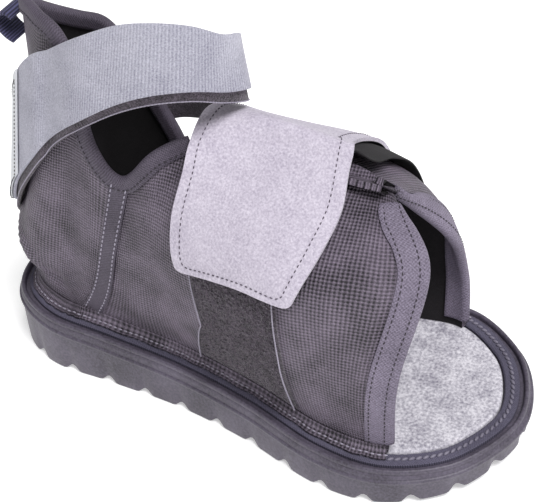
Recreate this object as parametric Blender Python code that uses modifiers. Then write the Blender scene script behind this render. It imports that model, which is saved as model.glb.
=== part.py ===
"""Post operative shoe, one shoe for either foot, standing empty on its sole.

The toe points along +X, the wearer's left is +Y and the floor is z = 0. A wide open-toed sole carries a
padded upper whose two quarters cross over the instep, a forefoot flap that closes them and an ankle strap
that stands up as an arch. "right" and "left" are the wearer's right and left.
"""
import bpy
import numpy as np

MM = 0.001

# Driving sizes of the shoe
SOLE_LENGTH = 270 * MM
BALL_WIDTH = 117 * MM
HEEL_WIDTH = 74 * MM
UPPER_HEIGHT = 164 * MM

# Height of the sole's rim over the floor
HEEL_RIM = 33.5 * MM
WAIST_RIM = 23.8 * MM
TOE_RIM = 19.5 * MM
TOE_SPRING = 5.0 * MM
SPRING_START = 0.72

# Tread and side of the sole
LUG_COUNT = 30
LUG_DEPTH = 3.0 * MM
LUG_BAND = 15.0 * MM
BAR_COUNT = 9
BAR_LENGTH = 9.0 * MM
BAR_MARGIN = 3.0 * MM
TOE_TUCK = 2.5 * MM
RIDGE_PROUD = 1.0 * MM
RIDGE_HEIGHT = 1.2 * MM
RIDGE_DROP_HEEL = 6.0 * MM
RIDGE_DROP_WAIST = 7.4 * MM
RIDGE_DROP_TOE = 4.6 * MM
BEAD_INSET = 1.8 * MM
BEAD_WIDTH = 2.4 * MM
BEAD_HEIGHT = 1.6 * MM
SEAT_INSET = 6.0 * MM

# What lies on the sole
GAP = 0.3 * MM
LAYER_GAP = 0.9 * MM
BINDING_GAP = 1.95 * MM
RAND_WIDTH = 6.7 * MM
RAND_THICKNESS = 2.0 * MM
INSOLE_THICKNESS = 4.5 * MM

# Cloth of the upper
WALL = 2.8 * MM
TAPE_THICKNESS = 0.9 * MM
FRONT_BINDING_WIDTH = 10.5 * MM
COLLAR_BINDING_WIDTH = 5.0 * MM
SEAM_TAPE_WIDTH = 9.5 * MM
TURNED_EDGE_WIDTH = 5.5 * MM
TURNED_EDGE_HEIGHT = 5.0 * MM
LOOP_PATCH_THICKNESS = 1.2 * MM

# Straps, label and pull loop
FLAP_THICKNESS = 1.8 * MM
FLAP_BACKING_THICKNESS = 0.8 * MM
FLAP_BACKING_REACH = 0.45  # ribs of the upper
STRAP_THICKNESS = 1.6 * MM
STRAP_LINING_THICKNESS = 1.4 * MM
STRAP_LINING_DROP = 6.5 * MM
LABEL_THICKNESS = 0.8 * MM
PULL_LOOP_WIDTH = 13.0 * MM
PULL_LOOP_THICKNESS = 1.3 * MM

# Sole outline: place along the length, then the half widths as shares of the heel width and, on the
# wearer's right and left, of the ball width
OUTLINE = (
    # length, heel, ball right, ball left
    (0.030, 0.312, 0.000, 0.000),
    (0.120, 0.488, 0.000, 0.000),
    (0.250, 0.503, 0.000, 0.000),
    (0.400, 0.260, 0.168, 0.168),
    (0.550, 0.000, 0.389, 0.381),
    (0.700, 0.000, 0.483, 0.468),
    (0.820, 0.000, 0.488, 0.500),
    (0.920, 0.000, 0.373, 0.377),
    (0.975, 0.000, 0.203, 0.212),
)

# Ribs of the upper, from the front of the right quarter round the heel to the front of the left quarter.
# base: share of the half rim from the heel (0) to the toe (1), negative on the wearer's right.
# belly, shoulder, top: forward as a share of SOLE_LENGTH, outward of BALL_WIDTH, up of UPPER_HEIGHT.
RIBS = (
    # base, belly, shoulder, top
    (-0.793, (0.019, -0.001, 0.265), (0.075, -0.180, 0.560), (0.018, -0.414, 0.638)),
    (-0.705, (0.006, 0.041, 0.262), (0.005, -0.034, 0.532), (-0.030, -0.432, 0.697)),
    (-0.582, (0.012, 0.096, 0.255), (0.005, 0.041, 0.549), (-0.060, -0.372, 0.731)),
    (-0.442, (0.005, 0.085, 0.233), (0.009, 0.085, 0.515), (0.003, -0.174, 0.730)),
    (-0.333, (0.019, 0.061, 0.192), (0.041, 0.085, 0.445), (0.064, 0.003, 0.698)),
    (-0.182, (0.060, 0.036, 0.160), (0.109, 0.052, 0.372), (0.154, 0.042, 0.583)),
    (-0.152, (0.060, 0.036, 0.173), (0.104, 0.042, 0.426), (0.133, 0.033, 0.673)),
    (-0.115, (0.050, 0.034, 0.225), (0.110, 0.037, 0.578), (0.148, 0.005, 0.955)),
    (-0.056, (0.036, 0.088, 0.215), (0.116, 0.088, 0.568), (0.137, 0.009, 1.000)),
    (0.000, (-0.015, 0.000, 0.195), (0.052, 0.000, 0.506), (0.086, 0.000, 0.965)),
    (0.056, (0.033, 0.080, 0.215), (0.110, 0.088, 0.550), (0.125, 0.033, 0.880)),
    (0.115, (0.050, 0.034, 0.208), (0.096, 0.047, 0.519), (0.120, 0.022, 0.820)),
    (0.152, (0.058, 0.036, 0.144), (0.104, 0.049, 0.345), (0.146, 0.041, 0.547)),
    (0.182, (0.063, 0.036, 0.119), (0.118, 0.051, 0.268), (0.165, 0.042, 0.399)),
    (0.333, (0.023, 0.060, 0.175), (0.045, 0.093, 0.398), (0.083, 0.060, 0.610)),
    (0.442, (0.005, 0.087, 0.233), (0.013, 0.104, 0.515), (0.025, -0.204, 0.730)),
    (0.580, (0.012, 0.107, 0.255), (0.008, 0.069, 0.549), (-0.038, -0.340, 0.736)),
    (0.703, (0.009, 0.062, 0.262), (0.005, 0.011, 0.514), (-0.044, -0.418, 0.710)),
    (0.787, (-0.001, 0.021, 0.194), (0.017, -0.117, 0.418), (-0.010, -0.419, 0.704)),
)
RIGHT_FRONT, LEFT_FRONT = 0, len(RIBS) - 1
RIGHT_SEAM, LEFT_SEAM = 5, 13
LEVELS = 3
HEEL_BACK_RIB = 9.0


def catmull(values, at):
    """Value at a fractional index of a list, on the smooth curve through its rows."""
    rows = np.asarray(values, float)
    last = len(rows) - 1
    at = min(max(at, 0.0), float(last))
    index = min(int(at), last - 1)
    t = at - index
    before = rows[index - 1] if index > 0 else 2 * rows[0] - rows[1]
    after = rows[index + 2] if index + 2 <= last else 2 * rows[last] - rows[last - 1]
    start, end = rows[index], rows[index + 1]
    return 0.5 * (
        2 * start
        + (end - before) * t
        + (2 * before - 5 * start + 4 * end - after) * t ** 2
        + (3 * start - before - 3 * end + after) * t ** 3
    )


def through_three(heel, waist, toe, share):
    """Parabola through a value at the heel, the waist and the toe."""
    return (
        heel * (1 - share) * (1 - 2 * share)
        + waist * 4 * share * (1 - share)
        + toe * share * (2 * share - 1)
    )


def unit(vector):
    return vector / np.linalg.norm(vector)


# Sole heights along the length

def share_of_length(x):
    return min(max(x / SOLE_LENGTH, 0.0), 1.0)


def rim_height(x):
    return through_three(HEEL_RIM, WAIST_RIM, TOE_RIM, share_of_length(x))


def ridge_height(x):
    drop = through_three(RIDGE_DROP_HEEL, RIDGE_DROP_WAIST, RIDGE_DROP_TOE, share_of_length(x))
    return rim_height(x) - drop


def floor_height(x):
    rise = max(share_of_length(x) - SPRING_START, 0.0) / (1.0 - SPRING_START)
    return TOE_SPRING * rise ** 2


def seat_height(x):
    """Where the rand and the insole board lie on the sole, below the bead."""
    return rim_height(x) - RAND_THICKNESS - 2 * GAP


def cloth_floor(x):
    """Top of the rand and insole, on which the upper stands."""
    return seat_height(x) + GAP + RAND_THICKNESS


# Sole outline and the rings inside it

def outline_points():
    """Points of the outline from the heel round the wearer's right to the toe and back on the left."""
    right = [(x * SOLE_LENGTH, -(h * HEEL_WIDTH + r * BALL_WIDTH)) for x, h, r, _ in OUTLINE]
    left = [(x * SOLE_LENGTH, h * HEEL_WIDTH + r * BALL_WIDTH) for x, h, _, r in OUTLINE]
    closed = [(0.0, 0.0)] + right + [(SOLE_LENGTH, 0.0)] + left[::-1]
    count, steps, overlap = len(closed), 24, 2
    wrapped = closed[-overlap:] + closed + closed[:overlap + 1]
    return np.array([catmull(wrapped, overlap + k / steps) for k in range(count * steps)])


def resample(points, shares):
    """Points of a closed line at the given shares of its length."""
    closed = np.vstack([points, points[:1]])
    run = np.concatenate([[0.0], np.cumsum(np.linalg.norm(np.diff(closed, axis=0), axis=1))])
    at = np.asarray(shares) * run[-1]
    return np.stack([np.interp(at, run, closed[:, axis]) for axis in (0, 1)], axis=1)


def inset(points, distance):
    """A closed line moved inward, by one distance or by one for each point."""
    along = np.roll(points, -1, axis=0) - np.roll(points, 1, axis=0)
    along = along / np.linalg.norm(along, axis=1)[:, None]
    inward = np.stack([-along[:, 1], along[:, 0]], axis=1)
    return points + inward * np.asarray(distance).reshape(-1, 1)


LUG_PHASES = (0.0, 0.2, 0.8)
RING_COUNT = LUG_COUNT * len(LUG_PHASES)
RING_SHARES = [(lug + phase) / LUG_COUNT for lug in range(LUG_COUNT) for phase in LUG_PHASES]
RIM = resample(outline_points(), RING_SHARES)
WALL_INSET = SEAT_INSET + GAP + RAND_WIDTH + GAP
WALL_LINE = inset(resample(outline_points(), np.arange(360) / 360), WALL_INSET)


def ring(inset_by, height):
    """A ring of the rim's own points, moved inward and lifted to a height that depends on x."""
    flat = inset(RIM, inset_by)
    return np.array([(x, y, height(k, x)) for k, (x, y) in enumerate(flat)])


def half_line(side):
    """The wall line from the heel to the toe on one side, with its run as shares from 0 to 1."""
    toe = int(np.argmax(WALL_LINE[:, 0]))
    order = list(range(toe + 1)) if side < 0 else [0] + list(range(len(WALL_LINE) - 1, toe - 1, -1))
    points = WALL_LINE[order]
    run = np.concatenate([[0.0], np.cumsum(np.linalg.norm(np.diff(points, axis=0), axis=1))])
    return points, run / run[-1]


HALVES = {-1: half_line(-1), 1: half_line(1)}


def wall_foot(share):
    """Where the upper meets the sole, at a share of the half rim, right negative."""
    points, run = HALVES[-1 if share < 0 else 1]
    return np.array([np.interp(abs(share), run, points[:, axis]) for axis in (0, 1)])


def foot_outward(share):
    """Level direction out of the shoe at a place on the wall line."""
    step = 0.006
    along = unit(wall_foot(share + step) - wall_foot(share - step))
    return np.array([-along[1], along[0]])


# Surfaces that carry the cloth pieces

class Surface:
    """A smooth surface with a point for each pair of numbers, and a side that faces out."""

    outward = 1.0
    last_a, last_b = 1.0, 1.0

    def point(self, a, b):
        raise NotImplementedError

    def slopes(self, a, b, step=0.02):
        """How fast the point moves with each number, taken inside the surface at its edges."""
        a, b = min(max(a, 0.0), self.last_a), min(max(b, 0.0), self.last_b)
        a0, a1 = max(a - step, 0.0), min(a + step, self.last_a)
        b0, b1 = max(b - step, 0.0), min(b + step, self.last_b)
        along_a = (self.point(a1, b) - self.point(a0, b)) / (a1 - a0)
        along_b = (self.point(a, b1) - self.point(a, b0)) / (b1 - b0)
        return along_a, along_b

    def normal(self, a, b):
        along_a, along_b = self.slopes(a, b)
        return unit(np.cross(along_a, along_b)) * self.outward

    def lifted(self, a, b, lift):
        return self.point(a, b) + self.normal(a, b) * lift

    def walk(self, a, b, direction, distance, steps=4):
        """The pair of numbers reached by going a distance along the surface in a direction."""
        for _ in range(steps):
            along_a, along_b = self.slopes(a, b)
            frame = np.stack([along_a, along_b], axis=1)
            moved = np.linalg.lstsq(frame, direction * distance / steps, rcond=None)[0]
            a, b = a + moved[0], b + moved[1]
        return a, b


class UpperSurface(Surface):
    """Outer face of the upper: ribs along a (the row of RIBS), levels along b (0 foot to 3 top)."""

    outward = -1.0

    def __init__(self, ribs):
        self.last_a, self.last_b = len(ribs) - 1.0, float(LEVELS)
        self.bases = [(base,) for base, *_ in ribs]
        self.levels = [[(0.0, 0.0, 0.0)] * len(ribs)]
        for level in range(LEVELS):
            self.levels.append([row[1 + level] for row in ribs])

    def point(self, a, b):
        share = float(catmull(self.bases, a)[0])
        foot, out = wall_foot(share), foot_outward(share)
        rows = [catmull(level, a) for level in self.levels]
        forward, outward, up = catmull(rows, b) * (SOLE_LENGTH, BALL_WIDTH, UPPER_HEIGHT)
        x, y = foot + out * outward
        return np.array([x + forward, y, cloth_floor(foot[0]) + GAP + up])


class BandSurface(Surface):
    """A strap: a runs along it, one number for each row, and b across it from 0 to 1."""

    def __init__(self, rows, outward=1.0):
        self.rows = np.asarray(rows, float)
        self.last_a = len(self.rows) - 1.0
        self.outward = outward

    def point(self, a, b):
        across = catmull(self.rows, a)
        return catmull(across, b * (len(across) - 1))


class FacetedSurface(Surface):
    """Another surface as its mesh has it: flat between the lines where that mesh has points."""

    def __init__(self, smooth, steps_a, steps_b):
        self.smooth, self.outward = smooth, smooth.outward
        self.last_a, self.last_b = smooth.last_a, smooth.last_b
        self.steps_a, self.steps_b = steps_a, steps_b
        count_a, count_b = int(self.last_a * steps_a) + 1, int(self.last_b * steps_b) + 1
        self.grid = np.array([
            [smooth.point(a / steps_a, b / steps_b) for b in range(count_b)] for a in range(count_a)
        ])

    def point(self, a, b):
        a = min(max(a, 0.0), self.last_a) * self.steps_a
        b = min(max(b, 0.0), self.last_b) * self.steps_b
        i, j = min(int(a), len(self.grid) - 2), min(int(b), len(self.grid[0]) - 2)
        s, t = a - i, b - j
        near = self.grid[i][j] * (1 - t) + self.grid[i][j + 1] * t
        far = self.grid[i + 1][j] * (1 - t) + self.grid[i + 1][j + 1] * t
        return near * (1 - s) + far * s

    def normal(self, a, b):
        return self.smooth.normal(a, b)


RIB_STEPS = 3
LEVEL_STEPS = 4
UPPER = FacetedSurface(UpperSurface(RIBS), RIB_STEPS, LEVEL_STEPS)


# Mesh helpers

def material(name, colour, roughness):
    finish = bpy.data.materials.new(name)
    finish.use_nodes = True
    shader = finish.node_tree.nodes["Principled BSDF"]
    shader.inputs["Base Color"].default_value = (*colour, 1.0)
    shader.inputs["Roughness"].default_value = roughness
    shader.inputs["Metallic"].default_value = 0.0
    return finish


def add_object(name, points, faces, finish, collection):
    """A mesh object whose origin is the middle of its foot on the shoe's centre line."""
    mesh = bpy.data.meshes.new(name)
    centre = (SOLE_LENGTH / 2, 0.0, 0.0)
    mesh.from_pydata([tuple(np.asarray(p) - centre) for p in points], [], faces)
    mesh.update()
    item = bpy.data.objects.new(name, mesh)
    collection.objects.link(item)
    item.data.materials.append(finish)
    return item


def thicken(item, thickness):
    """Solidify an open sheet to the side that its faces point to."""
    solid = item.modifiers.new("thickness", "SOLIDIFY")
    solid.thickness = abs(thickness)
    solid.offset = 1.0 if thickness > 0 else -1.0
    solid.use_even_offset = True
    return item


def grid_faces(rows, columns, flip):
    faces = []
    for row in range(rows - 1):
        for column in range(columns - 1):
            corner = row * columns + column
            face = (corner, corner + 1, corner + columns + 1, corner + columns)
            faces.append(face[::-1] if flip else face)
    return faces


def sheet(name, grid, thickness, finish, collection, outward):
    """An open grid of points, thickened on the side that the vector outward shows at its middle."""
    rows, columns = len(grid), len(grid[0])
    points = [point for row in grid for point in row]
    middle, beside = rows // 2, columns // 2
    along = grid[middle][min(beside + 1, columns - 1)] - grid[middle][beside - 1]
    across = grid[min(middle + 1, rows - 1)][beside] - grid[middle - 1][beside]
    flip = float(np.dot(np.cross(along, across), outward)) < 0
    return thicken(add_object(name, points, grid_faces(rows, columns, flip), finish, collection), thickness)


def closed_rings(name, rings, finish, collection):
    """A solid from rings of equal count, its first and last ring closed straight across."""
    count = len(rings[0])
    points = [point for each in rings for point in each]
    faces = []
    for level in range(len(rings) - 1):
        for k in range(count):
            here, after = level * count + k, level * count + (k + 1) % count
            faces.append((here, after, after + count, here + count))
    for level, turned in ((0, True), (len(rings) - 1, False)):
        first = level * count
        for k in range(count // 2):
            near = (first + k, first + k + 1)
            far = (first + (count - k - 1) % count, first + (count - k) % count)
            corners = list(dict.fromkeys((*near, *far)))
            faces.append(tuple(corners[::-1]) if turned else tuple(corners))
    return add_object(name, points, faces, finish, collection)


# Pieces of the sole

def tread_notch(k, x):
    """Lower edge of the sole: a notch between each two lugs of its rim."""
    depth = LUG_DEPTH if k % len(LUG_PHASES) == 0 else 0.0
    return floor_height(x) + depth


def side_tuck():
    """How far the foot of the side wall lies inside the ridge: more at the toe."""
    return np.array([
        TOE_TUCK * max(share_of_length(x) - SPRING_START, 0.0) / (1.0 - SPRING_START) for x, _ in RIM
    ])


def outsole(finish, collection):
    bead_inside = BEAD_INSET + BEAD_WIDTH
    insole_edge = WALL_INSET + GAP
    seat_drop = INSOLE_THICKNESS - RAND_THICKNESS

    def above_floor(_, x):
        return floor_height(x) + LUG_DEPTH

    def rim_less(amount):
        return lambda _, x: rim_height(x) - amount

    def ridge_plus(amount):
        return lambda _, x: ridge_height(x) + amount

    rings = [
        ring(LUG_BAND + MM, above_floor),
        ring(LUG_BAND, tread_notch),
        ring(side_tuck(), tread_notch),
        ring(RIDGE_PROUD, ridge_plus(-RIDGE_HEIGHT)),
        ring(0.0, ridge_plus(0.0)),
        ring(RIDGE_PROUD, ridge_plus(RIDGE_HEIGHT)),
        ring(BEAD_INSET + RIDGE_PROUD, rim_less(BEAD_HEIGHT + 0.8 * MM)),
        ring(BEAD_INSET, rim_less(BEAD_HEIGHT)),
        ring(BEAD_INSET, rim_less(0.3 * BEAD_HEIGHT)),
        ring(BEAD_INSET + 0.3 * BEAD_WIDTH, rim_less(0.0)),
        ring(BEAD_INSET + 0.7 * BEAD_WIDTH, rim_less(0.0)),
        ring(bead_inside, rim_less(0.3 * BEAD_HEIGHT)),
        ring(bead_inside, lambda _, x: seat_height(x)),
        ring(insole_edge, lambda _, x: seat_height(x)),
        ring(insole_edge, lambda _, x: seat_height(x) - seat_drop),
    ]
    sole = closed_rings("outsole", rings, finish, collection)
    return sole


def tread_bars(finish, collection):
    """Lugs across the hollow of the tread, fused to the sole."""
    inner = inset(RIM, LUG_BAND + MM + BAR_MARGIN)
    first, last = inner[:, 0].min(), inner[:, 0].max()
    pitch = (last - first) / BAR_COUNT
    right, left = inner[inner[:, 1] < 0], inner[inner[:, 1] >= 0]
    right, left = right[np.argsort(right[:, 0])], left[np.argsort(left[:, 0])]
    points, faces = [], []
    for bar in range(BAR_COUNT):
        middle = first + pitch * (bar + 0.5)
        start, end = middle - BAR_LENGTH / 2, middle + BAR_LENGTH / 2
        corners = [
            (x, np.interp(x, edge[:, 0], edge[:, 1]))
            for x, edge in ((start, right), (end, right), (end, left), (start, left))
        ]
        base = len(points)
        points += [(x, y, floor_height(x)) for x, y in corners]
        points += [(x, y, floor_height(x) + LUG_DEPTH + MM) for x, y in corners]
        sides = [(k, (k + 1) % 4, (k + 1) % 4 + 4, k + 4) for k in range(4)]
        faces += [tuple(base + k for k in face) for face in [(3, 2, 1, 0), (4, 5, 6, 7), *sides]]
    return add_object("tread_bars", points, faces, finish, collection)


def fuse(target, tool):
    union = target.modifiers.new("fuse", "BOOLEAN")
    union.operation = "UNION"
    union.solver = "EXACT"
    union.object = tool
    tool.hide_render = True
    tool.display_type = "WIRE"


def stitched_rand(finish, collection):
    """The flat stitched ring between the bead's groove and the insole, all round the sole."""
    outer, inner = SEAT_INSET + GAP, SEAT_INSET + GAP + RAND_WIDTH

    def at(amount):
        return lambda _, x: seat_height(x) + GAP + amount

    profile = (
        (outer, at(0.0)),
        (inner, at(0.0)),
        (inner, at(RAND_THICKNESS)),
        (outer, at(RAND_THICKNESS)),
    )
    rings = [ring(inset_by, height) for inset_by, height in profile]
    points = [point for each in rings for point in each]
    faces = []
    for level in range(len(rings)):
        below, above = level * RING_COUNT, (level + 1) % len(rings) * RING_COUNT
        for k in range(RING_COUNT):
            after = (k + 1) % RING_COUNT
            faces.append((below + k, above + k, above + after, below + after))
    return add_object("stitched_rand", points, faces, finish, collection)


def insole(finish, collection):
    edge = WALL_INSET + 2 * GAP
    top = RAND_THICKNESS + GAP
    low = top - INSOLE_THICKNESS + GAP

    def at(amount):
        return lambda _, x: seat_height(x) + amount

    rings = [
        ring(edge, at(low)),
        ring(edge, at(top - 0.8 * MM)),
        ring(edge + 0.8 * MM, at(top)),
    ]
    return closed_rings("insole", rings, finish, collection)


# Pieces of the upper



def spread(start, end, count):
    return [float(value) for value in np.linspace(start, end, count)]


def upper(finish, collection):
    """The hollow wall: both quarters and the heel panel, open at collar, instep, toe and underneath."""
    across = spread(RIGHT_FRONT, LEFT_FRONT, LEFT_FRONT * RIB_STEPS + 1)
    up = spread(0.0, LEVELS, LEVELS * LEVEL_STEPS + 1)
    grid = [[UPPER.point(a, b) for a in across] for b in up]
    out = UPPER.normal(across[len(across) // 2], up[len(up) // 2])
    return sheet("upper", grid, -WALL, finish, collection, out)


def turned_edge(finish, collection):
    """The foot of the upper turned out over the rand, with the seam that holds it."""
    points, faces = [], []
    across = spread(RIGHT_FRONT + 0.02, LEFT_FRONT - 0.02, 48)
    for a in across:
        share = float(catmull(UPPER.smooth.bases, a)[0])
        foot, out = wall_foot(share), foot_outward(share)
        floor = cloth_floor(foot[0]) + 2 * GAP

        def place(outward, up):
            x, y = foot + out * outward
            return (x, y, floor + up)

        climb = UPPER.point(a, TURNED_EDGE_HEIGHT / UPPER_HEIGHT * 4)
        lean = float(np.dot(climb[:2] - foot, out)) + 2 * GAP
        points += [
            place(2 * GAP, 0.0),
            place(TURNED_EDGE_WIDTH, 0.0),
            place(TURNED_EDGE_WIDTH, 1.2 * MM),
            place(TURNED_EDGE_WIDTH * 0.45 + lean, 2.0 * MM),
            place(lean + GAP, TURNED_EDGE_HEIGHT),
        ]
    count = 5
    for column in range(len(across) - 1):
        for k in range(count):
            here, after = column * count + k, column * count + (k + 1) % count
            faces.append((here, after, after + count, here + count))
    faces.append(tuple(range(count))[::-1])
    last = (len(across) - 1) * count
    faces.append(tuple(last + k for k in range(count)))
    return add_object("turned_edge", points, faces, finish, collection)


def edge_binding(name, edge, width, columns, finish, collection):
    """A tape folded over a free edge of the upper.

    edge lists pairs of numbers along that edge, each with the level or rib direction that leads inward.
    """
    grid = []
    for k, (a, b) in enumerate(edge):
        ahead, behind = edge[min(k + 1, len(edge) - 1)], edge[max(k - 1, 0)]
        along = unit(UPPER.point(*ahead) - UPPER.point(*behind))
        normal = UPPER.normal(a, b)
        beyond = np.cross(along, normal)
        inside = UPPER.point(*inward_pair(a, b)) - UPPER.point(a, b)
        if np.dot(beyond, inside) > 0:
            beyond = -beyond
        outer, inner = [], []
        for step in range(columns, -1, -1):
            pair = UPPER.walk(a, b, -beyond, width * step / columns) if step else (a, b)
            rim = beyond * (BINDING_GAP if step == 0 else 0.0)
            outer.append(UPPER.lifted(*pair, BINDING_GAP) + rim)
            inner.append(UPPER.lifted(*pair, -WALL - BINDING_GAP) + rim)
        grid.append(outer + inner[::-1])
    middle = len(grid) // 2
    outward = UPPER.normal(*edge[middle])
    rows, count = len(grid), len(grid[0])
    first = np.cross(grid[middle][1] - grid[middle][0], grid[middle + 1][0] - grid[middle][0])
    flip = float(np.dot(first, outward)) < 0
    points = [point for row in grid for point in row]
    item = add_object(name, points, grid_faces(rows, count, flip), finish, collection)
    return thicken(item, TAPE_THICKNESS)


def inward_pair(a, b):
    """A place a little inside the upper, seen from one of its free edges."""
    step = 0.15
    middle = min(max(a, RIGHT_FRONT + step), LEFT_FRONT - step)
    return middle, min(b, LEVELS - step)


def front_binding(name, rib, top, finish, collection):
    edge = [(rib, b) for b in spread(0.22, top, 15)]
    return edge_binding(name, edge, FRONT_BINDING_WIDTH, 2, finish, collection)


def collar_binding(finish, collection):
    edge = [(a, LEVELS) for a in spread(RIGHT_SEAM + 0.35, LEFT_SEAM - 0.35, 31)]
    return edge_binding("collar_binding", edge, COLLAR_BINDING_WIDTH, 1, finish, collection)


def seam_tape(name, rib, finish, collection):
    """The upright tape over the seam between a quarter and the heel panel."""
    grid = []
    for b in spread(0.40, LEVELS - 0.12, 13):
        up = unit(UPPER.point(rib, b + 0.02) - UPPER.point(rib, b - 0.02))
        beside = np.cross(UPPER.normal(rib, b), up)
        pairs = [UPPER.walk(rib, b, beside, SEAM_TAPE_WIDTH * share) for share in (-0.5, -0.17, 0.17, 0.5)]
        grid.append([UPPER.lifted(*pair, GAP) for pair in pairs])
    return sheet(name, grid, TAPE_THICKNESS, finish, collection, UPPER.normal(rib, LEVELS / 2))


def loop_patch(finish, collection):
    """The rough patch on the right quarter that the flap fastens to."""
    front, rear, rear_at_foot, low, high = 1.60, 2.84, 3.24, 0.20, 2.25
    grid = []
    for b in spread(low, high, 11):
        slant = (rear_at_foot - rear) * max(0.0, 1 - b) ** 0.8
        grid.append([UPPER.lifted(a, b, LAYER_GAP) for a in spread(front, rear + slant, 8)])
    out = UPPER.normal((front + rear) / 2, (low + high) / 2)
    return sheet("loop_patch", grid, LOOP_PATCH_THICKNESS, finish, collection, out)


# Forefoot flap: where its rear and front edge cross the upper, and how far it stands off.
# level and ribs are places on the upper, rises are shares of WALL beyond the clearances.
FLAP_ROWS = (
    # level, rear rib, front rib, rear rise, front rise
    (1.74, 2.90, 1.36, 0.0, 0.0),
    (1.95, 2.98, 1.24, 0.0, 0.0),
    (2.25, 3.07, 1.10, 0.0, 0.0),
    (2.55, 3.12, 1.02, 0.8, 0.6),
    (2.80, 3.17, 1.05, 2.3, 2.3),
    (2.74, 14.60, 16.66, 1.6, 1.5),
    (2.40, 14.72, 16.55, 0.5, 0.8),
    (2.05, 14.82, 16.55, 0.0, 0.4),
    (1.70, 14.90, 16.60, 0.0, 0.1),
    (1.35, 14.95, 16.66, 0.0, 0.0),
)
FLAP_COLUMNS = 6


# The flap's inner lining where it crosses from one quarter to the other, from its rear edge to its front
# edge: shares of SOLE_LENGTH forward, HEEL_WIDTH to the left, UPPER_HEIGHT up
FLAP_CREST = (
    (0.464, 0.020, 0.712),
    (0.593, 0.000, 0.722),
    (0.722, 0.020, 0.690),
)


def flap_surface(extra, further=0.0):
    """The flap's inner face, a clearance and any extra lift above what it covers.

    On the wearer's left its front edge can reach further along the upper, in ribs.
    """
    clear = LOOP_PATCH_THICKNESS + 2 * LAYER_GAP + extra
    shares = spread(0.0, 1.0, FLAP_COLUMNS)
    crest = np.array(FLAP_CREST) * (SOLE_LENGTH, HEEL_WIDTH, UPPER_HEIGHT)
    crest[:, 2] += cloth_floor(0.0) + extra
    sides = {"right": [], "left": []}
    for level, rear, front, rear_rise, front_rise in FLAP_ROWS:
        side = "left" if rear > HEEL_BACK_RIB else "right"
        if side == "left":
            front += further
        row = []
        for share in shares:
            rise = WALL * (rear_rise + (front_rise - rear_rise) * share ** 3)
            point = UPPER.lifted(rear + (front - rear) * share, level, clear)
            row.append(point + np.array([0.0, 0.0, rise]))
        sides[side].append(row)
    middle = [catmull(crest, share * (len(crest) - 1)) for share in shares]
    return BandSurface([*sides["right"], middle, *sides["left"]])


def rounded_end(start, end, count, corner):
    """Stations along a strap with the share trimmed from each side, for a rounded first end."""
    stations = [(start + corner * (1 - np.cos(angle)), 1 - np.sin(angle)) for angle in (0.0, 0.55, 1.05)]
    return stations + [(a, 0.0) for a in spread(start + corner, end, count)]


def strap_sheet(name, surface, stations, sides, columns, trim, thickness, finish, collection, outward):
    """A strap as a sheet of its surface between two shares of its width, trimmed at a rounded end."""
    low, high = sides
    grid = []
    for a, cut in stations:
        inset_by = trim * cut
        grid.append([surface.point(a, b) for b in spread(low + inset_by, high - inset_by, columns)])
    return sheet(name, grid, thickness, finish, collection, outward)


def forefoot_flap(finish, collection):
    surface = flap_surface(FLAP_BACKING_THICKNESS + LAYER_GAP)
    stations = rounded_end(0.0, surface.last_a, 18, 0.33)
    return strap_sheet("forefoot_flap", surface, stations, (0.0, 1.0), 7, 0.1, FLAP_THICKNESS, finish,
                       collection, np.array([0.0, 0.0, 1.0]))


def flap_backing(finish, collection):
    surface = flap_surface(0.0, FLAP_BACKING_REACH)
    stations = [(a, 0.0) for a in spread(0.4, surface.last_a, 18)]
    return strap_sheet("flap_backing", surface, stations, (0.04, 0.985), 7, 0.0, FLAP_BACKING_THICKNESS,
                       finish, collection, np.array([0.0, 0.0, 1.0]))


# Ankle strap, from the back of the heel round the wearer's right, over the ankle and down the left.
# Where it lies on the heel panel: the rib and level of its lower and its upper edge.
STRAP_START = (
    # lower edge, upper edge
    ((9.50, 1.10), (9.60, 2.05)),
    ((8.75, 1.18), (8.90, 2.30)),
    ((8.15, 1.64), (8.30, 2.56)),
    ((7.65, 2.04), (7.65, 2.80)),
    ((7.22, 2.24), (7.10, 2.98)),
)
STRAP_END = (
    # lower edge, upper edge
    ((11.45, 2.25), (11.20, 2.90)),
    ((10.95, 1.85), (10.85, 2.60)),
    ((10.45, 1.65), (10.50, 2.40)),
)
# Where it stands free: shares of SOLE_LENGTH forward, HEEL_WIDTH to the left, UPPER_HEIGHT up
STRAP_ARCH = (
    # lower edge, upper edge
    ((0.300, -0.418, 0.765), (0.346, -0.415, 1.045)),
    ((0.371, -0.402, 0.843), (0.410, -0.388, 1.093)),
    ((0.435, -0.358, 0.890), (0.460, -0.334, 1.103)),
    ((0.484, -0.252, 0.890), (0.500, -0.228, 1.078)),
    ((0.507, -0.093, 0.842), (0.514, -0.082, 1.013)),
    ((0.510, 0.080, 0.782), (0.508, 0.053, 0.958)),
    ((0.452, 0.215, 0.722), (0.476, 0.215, 0.898)),
    ((0.422, 0.345, 0.620), (0.438, 0.352, 0.825)),
    ((0.365, 0.440, 0.555), (0.372, 0.452, 0.780)),
    ((0.300, 0.475, 0.520), (0.300, 0.480, 0.735)),
)


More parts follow.
